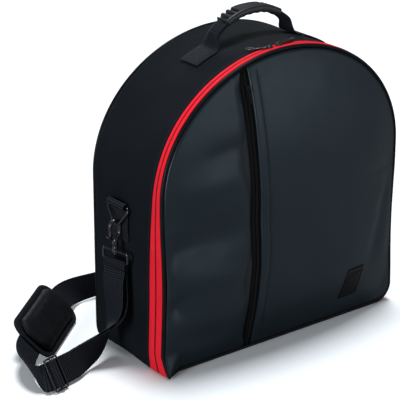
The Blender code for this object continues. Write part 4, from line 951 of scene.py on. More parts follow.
# The pocket tape's section: across and back from its face
POCKET_TAPE_SECTION = ((-0.0076, 0.0009), (-0.005, 0.0), (-0.002, 0.0), (0, 0.0), (0.002, 0.0), (0.005, 0.0),
                       (0.0076, 0.0009), (0.0076, 0.0017), (0.004, 0.0008), (0, 0.0008), (-0.004, 0.0008),
                       (-0.0076, 0.0017))


def pocket_zipper():
    """The pocket's black tape and coil, deep between the two skins."""
    low, top = 0.0035, arch_height(SEAM_TOP_X) - 0.009
    rings, line = [], []
    for z in spread(low, top, 150):
        x = seam_x(z)
        surface = front_depth(x, z, SKIN_BACK) + 0.0008
        lean = (front_depth(x + 0.004, z, SKIN_BACK) - front_depth(x - 0.004, z, SKIN_BACK)) / 0.008
        rings.append([(x + across, surface + lift + lean * across, z) for across, lift in POCKET_TAPE_SECTION])
        line.append((Vector((x, surface - 0.0008, z)), Vector((lean, -1, 0)).normalized()))
    put(loft("pocket_tape", rings, [BLACK_TAPE]), "lid", "piping", "pocket_zip_tape")
    teeth = row_on(TEETH_TREE, "pocket_teeth", [line], *POCKET_TEETH, BLACK_TEETH)
    put(teeth, "lid", "piping", "pocket_zip_coil")
    edges = [[(place + Vector((offset, 0.0006, 0)), out) for place, out in line]
             for offset in (-POCKET_STITCH, POCKET_STITCH)]
    sewn("pocket_tape_stitches", edges, "lid", thickness=0.0005)


side_wall()
back_wall()
piping("front_cord", FRONT_EDGE + PIPING_RADIUS, "lid", "front_piping")
piping("back_cord", BACK_EDGE - PIPING_RADIUS, "bag_body", "back_piping")
lid()
main_zipper()
pocket_zipper()


# The handle, as in the CAD source
WEBBING_WIDTH = 0.038
WEBBING = 0.0013
HANDLE_HALF_SPAN = 0.062
HANDLE_FOOT_RISE = 0.0115
HANDLE_RISE = 0.0240
HANDLE_POWER = 2.4
HANDLE_WEB_WIDTH = 0.024
GRIP_HALF_SPAN = 0.046
LEFT_TAB_END = -0.104
RIGHT_TAB_END = 0.124
TAB_THICKNESS = 0.0026
NOTCH_SHARES = (-0.90, -0.72, -0.54, 0.54, 0.72, 0.90)
NOTCH_REACH = 0.0020
NOTCH_DEPTH = 0.0034
GRIP_SHOWN_WIDTH = 0.0255
GRIP_SHOWN_HEIGHT = 0.0112
# The webbing where it is folded, between its feet
FOLDED_WIDTH = HANDLE_WEB_WIDTH * 0.98
FOLDED_THICKNESS = 0.0066
FOLD = 0.9
FOLDED_SPAN_SHARE = 0.985
# How far the stitches of a foot run from its middle
FOOT_STITCH = 0.0155


def strap_ring(middle, side, out, width, thickness, edge=0.35):
    """A flat strap's section with rounded, slightly thicker selvedges."""
    points = []
    shares = [-1, -0.985, -0.94, -0.88, -0.6, -0.3, 0, 0.3, 0.6, 0.88, 0.94, 0.985, 1]
    for way in (1, -1):
        for share in shares[::way]:
            thick = 0.45 + 0.55 * min((1 - abs(share)) / 0.06, 1.0)
            bead = 1 + edge * math.exp(-((abs(share) - 0.955) / 0.03) ** 2)
            points.append(middle + side * (width / 2 * share) + out * (way * thickness / 2 * thick * bead))
    return points


def strap_frames(path, lifts=None):
    """Place, sideways and outward directions along a strap's path, as the CAD source lays its sections."""
    places = [Vector(place) for place, _ in path]
    frames = []
    for index, (_, across) in enumerate(path):
        before = places[max(index - 1, 0)]
        after = places[min(index + 1, len(places) - 1)]
        along = (after - before).normalized()
        normal = along.cross(Vector(across)).normalized()
        middle = places[index] + normal * (lifts[index] if lifts else 0)
        frames.append((middle, normal.cross(along), normal))
    return frames


def smoothed(frames, steps):
    """More sections between a strap's sections, on smooth curves through them."""
    result = []
    for middle, side, out in eased_through(frames, steps, turning=True):
        side = side.normalized()
        result.append((middle, side, (out - side * out.dot(side)).normalized()))
    return result + frames[-1:]


def strap_piece(name, frames, finish=WEBBING_PAINTED_LIGHT, width=WEBBING_WIDTH):
    return loft(name, [strap_ring(middle, side, out, width, WEBBING) for middle, side, out in frames], [finish])


def arch_normal(x):
    return Vector((x / HALF_WIDTH ** 2, 0, (arch_height(x) - SIDE_HEIGHT) / ARCH_RISE ** 2)).normalized()


def arch_place(x, rise):
    return Vector((x, 0, arch_height(x))) + arch_normal(x) * rise


def handle_height(x):
    share = abs(x) / HANDLE_HALF_SPAN
    return BAG_HEIGHT + HANDLE_FOOT_RISE + HANDLE_RISE * (1 - share ** HANDLE_POWER)


def handle_frame(x):
    """A place on the handle's middle line, and its direction outwards."""
    nudge = 0.0006
    ahead, behind = min(x + nudge, HANDLE_HALF_SPAN), max(x - nudge, -HANDLE_HALF_SPAN)
    along = Vector((ahead - behind, 0, handle_height(ahead) - handle_height(behind))).normalized()
    return Vector((x, 0, handle_height(x))), Vector((-along.z, 0, along.x))


def powered(value, exponent):
    return math.copysign(abs(value) ** exponent, value)


def folded_ring(place, out, width, thick, fold):
    """The handle's webbing in section, both edges folded under as it gathers towards the grip."""
    points = []
    for angle in circle(28):
        c, s = math.cos(angle), math.sin(angle)
        wide, tall = powered(c, 0.55) * width / 2, powered(s, 0.7) * thick / 2
        crease = fold * thick * 0.22 * math.cos(angle * 5) * abs(s)
        points.append(place + Vector((0, wide, 0)) + out * (tall + crease - fold * 0.0006 * c * c))
    return points


def handle_foot(word, side, end_x):
    """A webbing end sewn flat on the arch, which rises and gathers into the handle."""
    rise = CLEARANCE + TAB_THICKNESS / 2
    rings = []
    foot_x = side * HANDLE_HALF_SPAN
    flat_x = side * (HANDLE_HALF_SPAN + 0.010)
    for step, x in enumerate(spread(end_x, flat_x, 25)):
        sink, thin = (0.00027, 0.7) if step == 0 else (0, 1)
        rings.append(folded_ring(arch_place(x, rise - sink), arch_normal(x), WEBBING_WIDTH, TAB_THICKNESS * thin, 0))
    base = arch_place(flat_x, rise)
    tip, tip_out = handle_frame(foot_x * FOLDED_SPAN_SHARE)
    base_out = arch_normal(flat_x)
    base_way = Vector((-side * base_out.z, 0, side * base_out.x))
    tip_way = Vector((-side * tip_out.z, 0, side * tip_out.x))
    reach = (tip - base).length
    for share in spread(0, 1, 16)[1:]:
        a, b = (1 - share) ** 3, 3 * (1 - share) ** 2 * share
        c, d = 3 * (1 - share) * share ** 2, share ** 3
        place = base * a + (base + base_way * reach * 0.42) * b + (tip - tip_way * reach * 0.34) * c + tip * d
        out = (base_out * (1 - share) + tip_out * share).normalized()
        width = WEBBING_WIDTH + (FOLDED_WIDTH - WEBBING_WIDTH) * smooth_share(share)
        thick = TAB_THICKNESS + (FOLDED_THICKNESS - TAB_THICKNESS) * smooth_share(share)
        rings.append(folded_ring(place, out, width, thick, smooth_share(share * 1.4) * FOLD))
    made = loft("handle_foot_" + word, rings, [WEBBING_PAINTED_LIGHT])
    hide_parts("handle_tab_" + word)
    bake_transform(made)
    top = 2 * rise - CLEARANCE - 0.0001
    near, far = end_x - side * 0.004, flat_x + side * 0.004

    def at(x, across):
        return arch_place(x, top) + Vector((0, across, 0)), arch_normal(x)

    run = spread(near, far, 24)
    lines = [[at(x, way * FOOT_STITCH) for x in run] for way in (-1, 1)]
    lines += [[at(x, across) for across in spread(-FOOT_STITCH, FOOT_STITCH, 12)] for x in (near, far)]
    lines += [[at(x, across) for x, across in zip(run, spread(-way * FOOT_STITCH, way * FOOT_STITCH, 24))]
              for way in (-1, 1)]
    sewn("foot_stitches_" + word, lines, "bag_body")


def carry_handle():
    """The folded webbing inside the grip, and the moulded grip with its finger notches."""
    rings = []
    for share in spread(-1, 1, 60):
        x = HANDLE_HALF_SPAN * FOLDED_SPAN_SHARE * share
        place, out = handle_frame(x)
        full = 1 - 0.46 * smooth_share((GRIP_HALF_SPAN - 0.003 - abs(x)) / 0.005)
        rings.append(folded_ring(place, out, FOLDED_WIDTH * full, FOLDED_THICKNESS * full, FOLD))
    put(loft("handle_strap", rings, [WEBBING_PAINTED_LIGHT]), "handle", "webbing", "handle_webbing")
    rings = []
    for share in spread(-1, 1, 260):
        place, out = handle_frame(GRIP_HALF_SPAN * share)
        cut = max(math.exp(-(((share - notch) * GRIP_HALF_SPAN) / NOTCH_REACH) ** 4) for notch in NOTCH_SHARES)
        end = math.sqrt(max(1 - max((abs(share) - 0.965) / 0.035, 0) ** 2, 0.0))
        size = 0.80 + 0.20 * end
        wave = 0.0004 * math.cos(share * 22)
        ring = []
        for angle in circle(40):
            c, s = math.cos(angle), math.sin(angle)
            wide, tall = powered(c, 0.5), powered(s, 0.62)
            inner = smooth_share((0.74 + wide) / 0.12) * smooth_share(tall / 0.5)
            drop = cut * NOTCH_DEPTH * inner if s > 0 else 0.0
            ridge = 0.0009 * math.exp(-((abs(wide) - 0.86) / 0.10) ** 2) * (1 - cut * inner) if s > 0 else wave
            ring.append(place + Vector((0, wide * GRIP_SHOWN_WIDTH / 2 * size, 0))
                        + out * (tall * GRIP_SHOWN_HEIGHT / 2 * size - drop + ridge))
        rings.append(ring)
    put(loft("hand_grip", rings, [RUBBER]), "handle", "rubber", "handle_grip")


# Side rings, hooks and swivel loops, as in the CAD source
RING_Y = 0.013
RING_Z = 0.2235
RING_WIRE = 0.0017
RING_WIDTH = 0.0455
RING_CORNER = 0.003
RING_LENGTH = 0.0255
RING_TILT = math.radians(18)
RING_CORNER_SHARE = 0.16
RING_BEND_SHARE = 0.272
TAB_LENGTH = 0.050
TAB_LAP = 0.038
TAB_WRAP = math.radians(222)
TAB_STITCH = 0.0150
TAB_ROLL = 0.0043
TAB_ROLL_RISE = 0.0010
HOOK_Y = 0.008
HOOK_WIRE = 0.0022
HOOK_SHOWN = 0.0026
HOOK_HALF_EYE = 0.00785
HOOK_REACH = 0.0018
EYE_TO_BOSS = 0.0200
BOSS_RADIUS = 0.0042
BOSS_LENGTH = 0.0128
STEM_RADIUS = 0.0018
STEM_LENGTH = 0.0058
STEM_HEAD_RADIUS = 0.0030
STEM_HEAD = 0.0017
STEP_LENGTH = 0.0002
HOOK_TIP = 0.0035
GATE_THICKNESS = 0.0044
GATE_ARM = 0.0020
GATE_LENGTH = 0.0160
GATE_THUMB = 0.0050
GATE_THUMB_SHARES = (0.50, 0.55, 0.60, 0.66)
HOOK_NECK_SHARES = ((0.20, 0.88, 0.58), (0.72, 0.70, 0.165), (0.96, 0.50, 0.0), (1.0, 0.25, 0.0))
LOOP_WIDTH = 0.0436
LOOP_HEIGHT = 0.0143
LOOP_WIRE = 0.0017
LOOP_YAW = math.radians(12)
STRAP_LEG = 0.0090
STRAP_RUN_IN = 0.0060


def tab_layers():
    """How far out the tab's sewn layer and its lap lie, and how wide it turns round the bar."""
    sewn_at = CLEARANCE + WEBBING / 2
    return sewn_at, sewn_at + WEBBING + CLEARANCE, RING_WIRE + CLEARANCE + WEBBING / 2


def ring_bar():
    sewn_at, _, turn = tab_layers()
    return HALF_WIDTH + sewn_at + turn


def ring_apex():
    return ring_bar() + RING_LENGTH * math.sin(RING_TILT), RING_Z - RING_LENGTH * math.cos(RING_TILT)


def hook_centre():
    apex_out, apex_z = ring_apex()
    return apex_out + HOOK_REACH, apex_z + RING_WIRE + HOOK_WIRE + 2 * CLEARANCE - HOOK_HALF_EYE


def hook_stations():
    """The heights below the eye at which the boss, the stem and its head end."""
    boss_low = -EYE_TO_BOSS - BOSS_LENGTH
    stem_low = boss_low - STEM_LENGTH
    return boss_low, stem_low, stem_low - STEM_HEAD


def side_ring(word, side):
    """The webbing tab and the three-sided wire ring that hangs in it."""
    sewn_at, lap, _ = tab_layers()
    centre = sewn_at + TAB_ROLL
    path = [(sewn_at, RING_Z - TAB_LENGTH), (sewn_at, RING_Z - TAB_LENGTH / 2), (sewn_at, RING_Z)]
    for angle in spread(0, TAB_WRAP, 16)[1:]:
        path.append((centre - TAB_ROLL * math.cos(angle), RING_Z + TAB_ROLL_RISE + TAB_ROLL * math.sin(angle)))
    path += [(lap, RING_Z - TAB_ROLL - WEBBING), (lap, RING_Z - TAB_LAP * 0.6), (lap, RING_Z - TAB_LAP)]
    places = [((side * (HALF_WIDTH + out), RING_Y, z), (0, 1, 0)) for out, z in path]
    put(strap_piece("side_tab_" + word, smoothed(strap_frames(places), 2)), "bag_body", "webbing",
        "ring_tab_" + word)
    face = side * (HALF_WIDTH + lap + WEBBING / 2 + 0.0001)
    low, high = RING_Z - TAB_LAP + 0.004, RING_Z - TAB_ROLL - WEBBING - 0.003
    corners = [(-TAB_STITCH, low), (TAB_STITCH, low), (TAB_STITCH, high), (-TAB_STITCH, high), (-TAB_STITCH, low)]
    lines = []
    for (ya, za), (yb, zb) in list(zip(corners, corners[1:])) + [(corners[0], corners[2]), (corners[1], corners[3])]:
        lines.append([(Vector((face, RING_Y + ya + (yb - ya) * step / 10, za + (zb - za) * step / 10)), (side, 0, 0))
                      for step in range(11)])
    sewn("tab_stitches_" + word, lines, "bag_body", pitch=0.003, length=0.0023)
    half = RING_WIDTH / 2
    cut = RING_CORNER_SHARE
    leg = 1 - cut / 2
    bend = RING_CORNER / RING_LENGTH
    right = [(half - RING_CORNER, 0), (half, bend), (half * leg, bend + cut), (half * RING_BEND_SHARE, leg),
             (half * cut, 1)]
    flat = right + [(-across, down) for across, down in reversed(right)]
    apex_out, apex_z = ring_apex()
    lean = HOOK_Y - RING_Y
    points = [Vector((side * (ring_bar() + (apex_out - ring_bar()) * down), RING_Y + across + lean * down,
                      RING_Z + (apex_z - RING_Z) * down)) for across, down in flat]
    ring = tube("side_ring_" + word, rounded_line(points, 0.0022), RING_WIRE, [PAINT], cyclic=True)
    put(ring, "clip_" + word, "black_metal", "ring_" + word)


def rounded_line(points, radius, steps=5):
    """A closed line whose corners are rounded."""
    result = []
    size = len(points)
    for index in range(size):
        corner = points[index]
        before, after = points[index - 1], points[(index + 1) % size]
        reach = min(radius, (before - corner).length * 0.49, (after - corner).length * 0.49)
        first = corner + (before - corner).normalized() * reach
        last = corner + (after - corner).normalized() * reach
        for step in range(steps + 1):
            share = step / steps
            result.append(first * (1 - share) ** 2 + corner * (2 * share * (1 - share)) + last * share ** 2)
    return result


def hook_profile():
    """The hook's turned stem and boss, its neck and its eye, as out, up and radius."""
    boss_low, stem_low, head_low = hook_stations()
    eye = HOOK_HALF_EYE
    profile = [(0, head_low + rise, STEM_HEAD_RADIUS * share) for rise, share in ((0, 0.8), (0.0004, 1))]
    profile += [(0, stem_low - 0.0003, STEM_HEAD_RADIUS), (0, stem_low, STEM_HEAD_RADIUS * 0.85),
                (0, stem_low + STEP_LENGTH, STEM_RADIUS), (0, boss_low, STEM_RADIUS)]
    profile += [(0, boss_low + rise, BOSS_RADIUS * share)
                for rise, share in ((STEP_LENGTH, 0.86), (0.0009, 1), (0.0030, 1), (0.0036, 0.84), (0.0044, 0.84),
                                    (0.0050, 1))]
    profile += [(0, -EYE_TO_BOSS - 0.0006, BOSS_RADIUS), (0, -EYE_TO_BOSS, BOSS_RADIUS * 0.95)]
    for over, down, swell in HOOK_NECK_SHARES:
        profile.append((-eye * over, -EYE_TO_BOSS * down, HOOK_SHOWN + (BOSS_RADIUS * 1.08 - HOOK_SHOWN) * swell))
    for angle in spread(math.pi, 0, 16):
        profile.append((eye * math.cos(angle), eye * math.sin(angle), HOOK_SHOWN))
    profile += [(eye, -HOOK_TIP * 0.8, HOOK_SHOWN), (eye, -HOOK_TIP, HOOK_SHOWN * 0.8)]
    return profile


def snap_hook(word, side):
    """The hook, and its sprung gate with a ribbed thumb piece."""
    profile = hook_profile()
    out, height = hook_centre()
    points = [(side * (out + h), HOOK_Y, height + v) for h, v, _ in profile]
    made = tube("snap_hook_" + word, points, HOOK_WIRE, [PAINT], sides=16, radii=[radius for _, _, radius in profile])
    put(made, "snap_" + word, "black_metal", "hook_" + word)
    eye, arm = HOOK_HALF_EYE, GATE_ARM
    top = -HOOK_TIP - CLEARANCE
    low = top - GATE_LENGTH
    thumb_top, thumb_root, inner, thumb_low = (top - GATE_LENGTH * share for share in GATE_THUMB_SHARES)
    flat = [(eye - arm / 2, top), (eye + arm / 2, top), (eye + arm / 2, thumb_root), (eye + GATE_THUMB, thumb_top),
            (eye + GATE_THUMB, thumb_low), (eye + arm / 2, low + arm), (eye - arm, low),
            (eye - arm * 3 / 2, low + arm / 2), (eye - arm, inner)]
    rings = [[Vector((side * (out + h), HOOK_Y + depth, height + v)) for h, v in flat]
             for depth in (-GATE_THICKNESS / 2, GATE_THICKNESS / 2)]
    gate = loft("snap_gate_" + word, rings, [PAINT], flat=True)
    finished(gate, ("BEVEL", {"width": 0.0005, "segments": 3, "limit_method": "ANGLE"}))
    gate.data.shade_smooth()
    gate.data.set_sharp_from_angle(angle=math.radians(50))
    parts = [gate]
    for step in range(4):
        level = height + thumb_top + (thumb_low - thumb_top) * (0.2 + 0.2 * step)
        ends = [(side * (out + eye + GATE_THUMB), HOOK_Y + way * GATE_THICKNESS * 0.38, level) for way in (-1, 1)]
        parts.append(tube("rib", ends, 0.00022, [PAINT], sides=6))
    put(joined_piece("snap_thumb_" + word, parts), "thumb_" + word, "black_metal", "gate_" + word)


def loop_frame(side):
    """The middles of the loop's upper and lower bars, and the bars' direction."""
    out, height = hook_centre()
    boss_low, stem_low, _ = hook_stations()
    top = height + (boss_low + stem_low) / 2
    across = Vector((-side * math.sin(LOOP_YAW), -math.cos(LOOP_YAW), 0))
    return Vector((side * out, HOOK_Y, top)), Vector((side * out, HOOK_Y, top - LOOP_HEIGHT)), across


def collar(place, inner, outer, height):
    """A short turned sleeve with rounded edges."""
    section = [(inner, -1), (outer * 0.92, -1), (outer, -0.78), (outer, 0.78), (outer * 0.92, 1), (inner, 1)]
    rings = [[place + Vector((radius * math.cos(angle), radius * math.sin(angle), share * height / 2))
              for radius, share in section] for angle in circle(24)]
    return loft("collar", rings, [PAINT], joined=True)


def swivel(word, side):
    """The rectangular wire loop with its bored collar, and the strap's turn round its lower bar."""
    top, low, across = loop_frame(side)
    half = LOOP_WIDTH / 2
    corners = [top - across * half, top + across * half, low + across * half, low - across * half]
    wire = tube("loop_wire", rounded_line(corners, 0.0034, 8), LOOP_WIRE, [PAINT], cyclic=True)
    sleeve = collar(top, STEM_RADIUS + CLEARANCE, BOSS_RADIUS, STEM_LENGTH - 2 * CLEARANCE - STEP_LENGTH)
    made = joined_piece("strap_loop_" + word, [wire, sleeve])
    put(made, "clip_" + word, "black_metal", "swivel_loop_" + word)
    outward = Vector((side * math.cos(LOOP_YAW), -math.sin(LOOP_YAW), 0))
    turn = strap_turn()
    leg = Vector((0, 0, STRAP_LEG))
    path = [(low + outward * turn - leg, across)]
    for angle in spread(0, math.pi, 16):
        path.append((low + outward * (turn * math.cos(angle)) + Vector((0, 0, turn * math.sin(angle))), across))
    path.append((low - outward * turn - leg, across))
    put(strap_piece("strap_turn_" + word, strap_frames(path)), "clip_" + word, "webbing", "strap_end_" + word)


def strap_turn():
    return LOOP_WIRE + CLEARANCE + WEBBING / 2


# Zip sliders and pulls, as in the CAD source
SLIDER_LENGTH = 0.009
SLIDER_WIDTH = 0.0085
SLIDER_PLATE = 0.0016
SLIDER_PITCH = 0.016
SLIDER_PARK = -0.012
SLIDER_PLAY = 0.0008
BAIL_RADIUS = 0.0006
BAIL_SPAN = 0.0056
BAIL_RISE = 0.0037
PULL_LENGTH = 0.034
PULL_WIDTH = 0.0075
PULL_THICKNESS = 0.0012
PULL_EYE = 0.0038
PULL_EYE_WIDTH = 0.0042
PULL_EYE_CORNER = 0.0009
PULL_BAR = 0.0012
LEFT_PULL_TURN = math.radians(154)
RIGHT_PULL_TURN = math.radians(13)
POCKET_SLIDER_WIDTH = 0.007
POCKET_PULL_LENGTH = 0.020
POCKET_PULL_WIDTH = 0.005
POCKET_SLIDER_LIFT = 0.0008
POCKET_END_MARGIN = 0.016
POCKET_SLIDER_MARGIN = 0.016
POCKET_FRONT = SKIN_BACK + CLEARANCE


def plate_outline(length, width, waist):
    """A slider's plate seen from above: broad shoulders at one end and a narrower mouth."""
    shares = [(-0.5, 0.30), (-0.47, 0.42), (-0.36, 0.47), (-0.10, 0.50), (0.14, 0.47), (0.30, waist), (0.44, waist),
              (0.5, waist - 0.07)]
    right = [(length * a, width * b) for a, b in shares]
    return right + [(a, -b) for a, b in reversed(right)]


def slab(name, flat, low, high, frame_matrix, finish, crown=0.0):
    """A flat plate with a softened upper edge, in a frame of its own."""
    count = len(flat)
    middle = (sum(a for a, _ in flat) / count, sum(b for _, b in flat) / count)
    rings = []
    for share, level in ((0.94, low), (1.0, low + (high - low) * 0.2), (1.0, low + (high - low) * 0.7),
                         (0.93, high), (0.6, high + crown)):
        rings.append([frame_matrix @ Vector((middle[0] + (a - middle[0]) * share,
                                             middle[1] + (b - middle[1]) * share, level)) for a, b in flat])
    return loft(name, rings, [finish])


def oblong(middle, reach, half, corner):
    """A rounded oblong round a middle on the first axis."""
    points = []
    for x, y, start in ((reach - corner, -half + corner, -90), (reach - corner, half - corner, 0),
                        (-reach + corner, half - corner, 90), (-reach + corner, -half + corner, 180)):
        points += corner_arc(middle + x, y, corner, start, 6)
    return points


def pull_tab(name, length, width, matrix, finish):
    """A zipper's pull: a flat tab with rounded ends, a raised rim, an eye and small grip ribs."""
    def shape(inset):
        return oblong(0.0, length / 2 - inset, width / 2 - inset, (width / 2 - inset) * 0.62)

    def eye(grow):
        return oblong(-length / 2 + PULL_BAR + PULL_EYE / 2, PULL_EYE / 2 + grow, PULL_EYE_WIDTH / 2 + grow,
                      PULL_EYE_CORNER)

    half = PULL_THICKNESS / 2
    narrow = min(1.0, width / PULL_WIDTH)
    loops = [(eye(0.0), 0.7, narrow), (eye(0.0002), 1.0, narrow), (shape(0.0008), 1.0, 1), (shape(0.0003), 0.95, 1),
             (shape(0.0), 0.5, 1)]
    loops += [(loop, -level, shrink) for loop, level, shrink in reversed(loops)]
    rings = [[matrix @ Vector((a, b * shrink, half * level)) for a, b in loop] for loop, level, shrink in loops]
    parts = [loft(name + "_plate", rings, [finish], joined=True)]
    for step in range(5):
        x = length / 2 - 0.0035 - 0.0016 * step
        if x > 0:
            for way in (-1, 1):
                ends = [matrix @ Vector((x, share * width * 0.32, way * half)) for share in (-1, 1)]
                parts.append(tube("rib", ends, 0.00025, [finish], sides=6))
    return joined_piece(name, parts)


def zip_slider(name, pull_name, nodes, bodies, place, along, out, stem, size, pull_size, pull_turn, finish):
    """A cast slider with its bail and its pull; stem is the distance to the plate behind the tape, if any."""
    across = out.cross(along).normalized()
    length, width = size
    matrix = Matrix.Translation(place) @ Matrix((along, across, out)).transposed().to_4x4()
    parts = [slab("top", plate_outline(length, width, 0.36), 0, SLIDER_PLATE, matrix, finish)]
    if stem:
        parts.append(slab("low", plate_outline(length, width - SLIDER_PLATE, 0.36), -stem - SLIDER_PLATE, -stem,
                          matrix, finish))
        neck = [(x * (length - SLIDER_PLATE) / 2, y * 0.0003) for x, y in
                ((1, 1), (0.6, 1), (0, 1), (-0.6, 1), (-1, 1), (-1, -1), (-0.6, -1), (0, -1), (0.6, -1), (1, -1))]
        rings = [[matrix @ Vector((x, y, level)) for x, y in neck] for level in (-stem - 0.0002, 0.0002)]
        parts.append(loft("neck", rings, [finish]))
    bend = [matrix @ Vector((BAIL_SPAN / 2 * math.cos(angle), 0,
                             SLIDER_PLATE - BAIL_RADIUS + BAIL_RISE * math.sin(angle)))
            for angle in spread(0, math.pi, 16)]
    parts.append(tube("bail", bend, BAIL_RADIUS, [finish], sides=10))
    put(joined_piece(name, parts), bodies[0], "black_metal", nodes[0])
    pull_length, pull_width = pull_size
    lift = SLIDER_PLATE + CLEARANCE + PULL_THICKNESS / 2
    eye_place = -pull_length / 2 + PULL_BAR + PULL_EYE / 2
    bar_offset = BAIL_SPAN / 2 - PULL_EYE / 2 + BAIL_RADIUS + CLEARANCE
    centre = (matrix @ Matrix.Translation((0, 0, lift)) @ Matrix.Rotation(pull_turn, 4, "Z")
              @ Matrix.Translation((-eye_place + bar_offset, 0, 0)))
    put(pull_tab(pull_name, pull_length, pull_width, centre, finish), bodies[1], "black_metal", nodes[1])


def zip_sliders():
    """Both sliders of the main zipper, parked near the top, and the pocket's slider near the top of its seam."""
    stem = TAPE_THICKNESS + 2 * CLEARANCE + COIL + SLIDER_PLAY
    for word, step, turn in (("left", -1, LEFT_PULL_TURN), ("right", 1, RIGHT_PULL_TURN)):
        x = SLIDER_PARK + step * SLIDER_PITCH / 2
        fall = ARCH_RISE * x / HALF_WIDTH ** 2 / math.sqrt(1 - (x / HALF_WIDTH) ** 2)
        slope = Vector((1, 0, -fall)).normalized()
        out = Vector((-slope.z, 0, slope.x))
        place = Vector((x, lid_tape_back(BAG_HEIGHT) + SLIT / 2, arch_height(x))) + out * CLEARANCE
        zip_slider("zip_slider_" + word, "zip_pull_" + word, ("main_slider_" + word, "main_pull_" + word),
                   ("slider_" + word, "pull_" + word), place, slope, out, stem, (SLIDER_LENGTH, SLIDER_WIDTH),
                   (PULL_LENGTH, PULL_WIDTH), turn, PAINT)
    top = arch_height(SEAM_TOP_X) - POCKET_END_MARGIN
    tape_surface = POCKET_FRONT - 2 * CLEARANCE - TAPE_THICKNESS / 2
    surface = tape_surface - TAPE_THICKNESS / 2 - CLEARANCE - COIL / 2
    seat = top - POCKET_SLIDER_MARGIN
    spots = [Vector((seam_x(z), surface - bulge(skin_share(seam_x(z), z)), z))
             for z in (seat, seat - SLIDER_LENGTH)]
    slide = (spots[1] - spots[0]).normalized()
    out = slide.cross(Vector((1, 0, 0))).normalized()
    if out.y > 0:
        out.negate()
    # The pocket slider's darker paint is painted shade for the seam it hides in
    zip_slider("pocket_zip_slider", "pocket_zip_pull", ("pocket_slider", "pocket_pull"),
               ("pocket_slider_body", "pocket_pull_body"), spots[0] + out * (COIL / 2 + POCKET_SLIDER_LIFT), slide,
               out, None, (SLIDER_LENGTH, POCKET_SLIDER_WIDTH), (POCKET_PULL_LENGTH, POCKET_PULL_WIDTH), 0,
               SHADED_SLIDER_PAINT)


# The patch, as in the CAD source
PATCH_WIDTH = 0.034
PATCH_HEIGHT = 0.046
PATCH_SLANT = 0.012
PATCH_X = 0.120
PATCH_Z = 0.056
PATCH_THICKNESS = 0.001


def front_patch():
    """A bare slanted patch with a raised border, pressed onto the front cloth."""
    steps = 36
    points = []
    for layer in (0, 1):
        for w in spread(-1, 1, steps):
            for u in spread(-1, 1, steps):
                z = PATCH_Z + PATCH_HEIGHT / 2 * w
                x = PATCH_X + PATCH_SLANT / 2 * w + PATCH_WIDTH / 2 * u
                edge = 1 - max(abs(u), abs(w))
                border = smooth_share(edge / 0.06) * (1 - 0.55 * smooth_share((edge - 0.16) / 0.06))
                inner = 0.35 * smooth_share((edge - 0.30) / 0.12)
                height = PATCH_THICKNESS * (0.25 + border + inner) if layer else -0.0001
                points.append(pinched((x, front_depth(x, z, SKIN_FRONT) - height, z)))
    width = steps + 1
    size = width * width
    faces = []
    for a, b, c, d in quads(steps, steps, width):
        faces += [(size + a, size + b, size + c, size + d), (a, d, c, b)]
    rim = list(range(width)) + [row * width + steps for row in range(1, width)]
    rim += [steps * width + column for column in range(steps - 1, -1, -1)]
    rim += [row * width for row in range(steps - 1, 0, -1)]
    for here, after in zip(rim, rim[1:] + rim[:1]):
        faces.append((here, after, after + size, here + size))
    made = rounded_out(piece("bare_patch", points, faces, [EMBOSSED]))
    put(made, "lid", "piping", "front_patch")


for WORD, SIDE, END in (("left", -1, LEFT_TAB_END), ("right", 1, RIGHT_TAB_END)):
    handle_foot(WORD, SIDE, END)
    side_ring(WORD, SIDE)
    snap_hook(WORD, SIDE)
    swivel(WORD, SIDE)
carry_handle()
zip_sliders()
front_patch()


# The shoulder strap's way, as in the CAD source
ADJUSTER_WIRE = 0.0015
ADJUSTER_PITCH = 0.0115
ADJUSTER_OUT = 0.1308
ADJUSTER_Y = -0.0172
ADJUSTER_Z = 0.0225
ADJUSTER_EDGE_SHARES = (-0.30, 0.42, 0.85)
ADJUSTER_SPREAD = 0.0415
PAD_OUT_X = 0.0976
PAD_BACK_Y = 0.0493
PAD_LOW_Z = 0.0032
PAD_TURN = math.radians(40)
PAD_LEAN = math.radians(43)
PAD_LENGTH = 0.153
PAD_WIDTH = 0.074
PAD_CORNER = 0.018
PAD_BASE = 0.003
PAD_CROWN = 0.009
PAD_RIM = 0.007
PAD_STRAP_RUN_OUT = 0.020
PAD_STITCH = 0.0043
PAD_BASE_CORNER = PAD_CORNER + 0.004
CUSHION_CORNER = PAD_CORNER + 0.010
CUSHION_RISE = 0.86
CUSHION_SECTION = ((0.2, 0.0), (0.0, 0.16), (0.12, 0.42), (0.55, 0.70), (1.1, 0.88), (1.8, 0.97), (2.6, 1.0),
                   (3.6, 1.02), (4.8, 1.03))
CREASES = (0.30, 0.42, 0.54, 0.66)
# How the cushion is blown up as cloth
CLOTH_VOXEL = 0.0032
AIR_PRESSURE = 4
CLOTH_FRAMES = 20
BLOWN_CAP = 0.0045
KEEPER_WIDTH = 0.022
KEEPER_INSET = 0.030
KEEPER_MARGIN = 0.0022
KEEPER_FOOT = 0.006
STRAP_LIFT = 0.002
STRAP_BEHIND = 0.115
STRAP_RIGHT = 0.040
STRAP_TURN_OUT = 0.0226
HANGING_SHARES = (
    ((0.00, 0.03, 0.11), (0.15, -0.98, 0.00)),
    ((-0.01, 0.05, 0.31), (0.10, -0.99, 0.05)),
    ((0.00, 0.09, 0.50), (0.00, -0.98, 0.20)),
    ((0.06, 0.11, 0.68), (-0.10, -0.87, 0.48)),
    ((0.18, 0.13, 0.83), (-0.20, -0.55, 0.80)),
    ((0.33, 0.19, 0.94), (-0.22, -0.15, 0.96)),
    ((0.51, 0.35, 0.99), (-0.25, 0.10, 0.96)),
    ((0.71, 0.68, 1.00), (-0.30, 0.30, 0.90)),
)
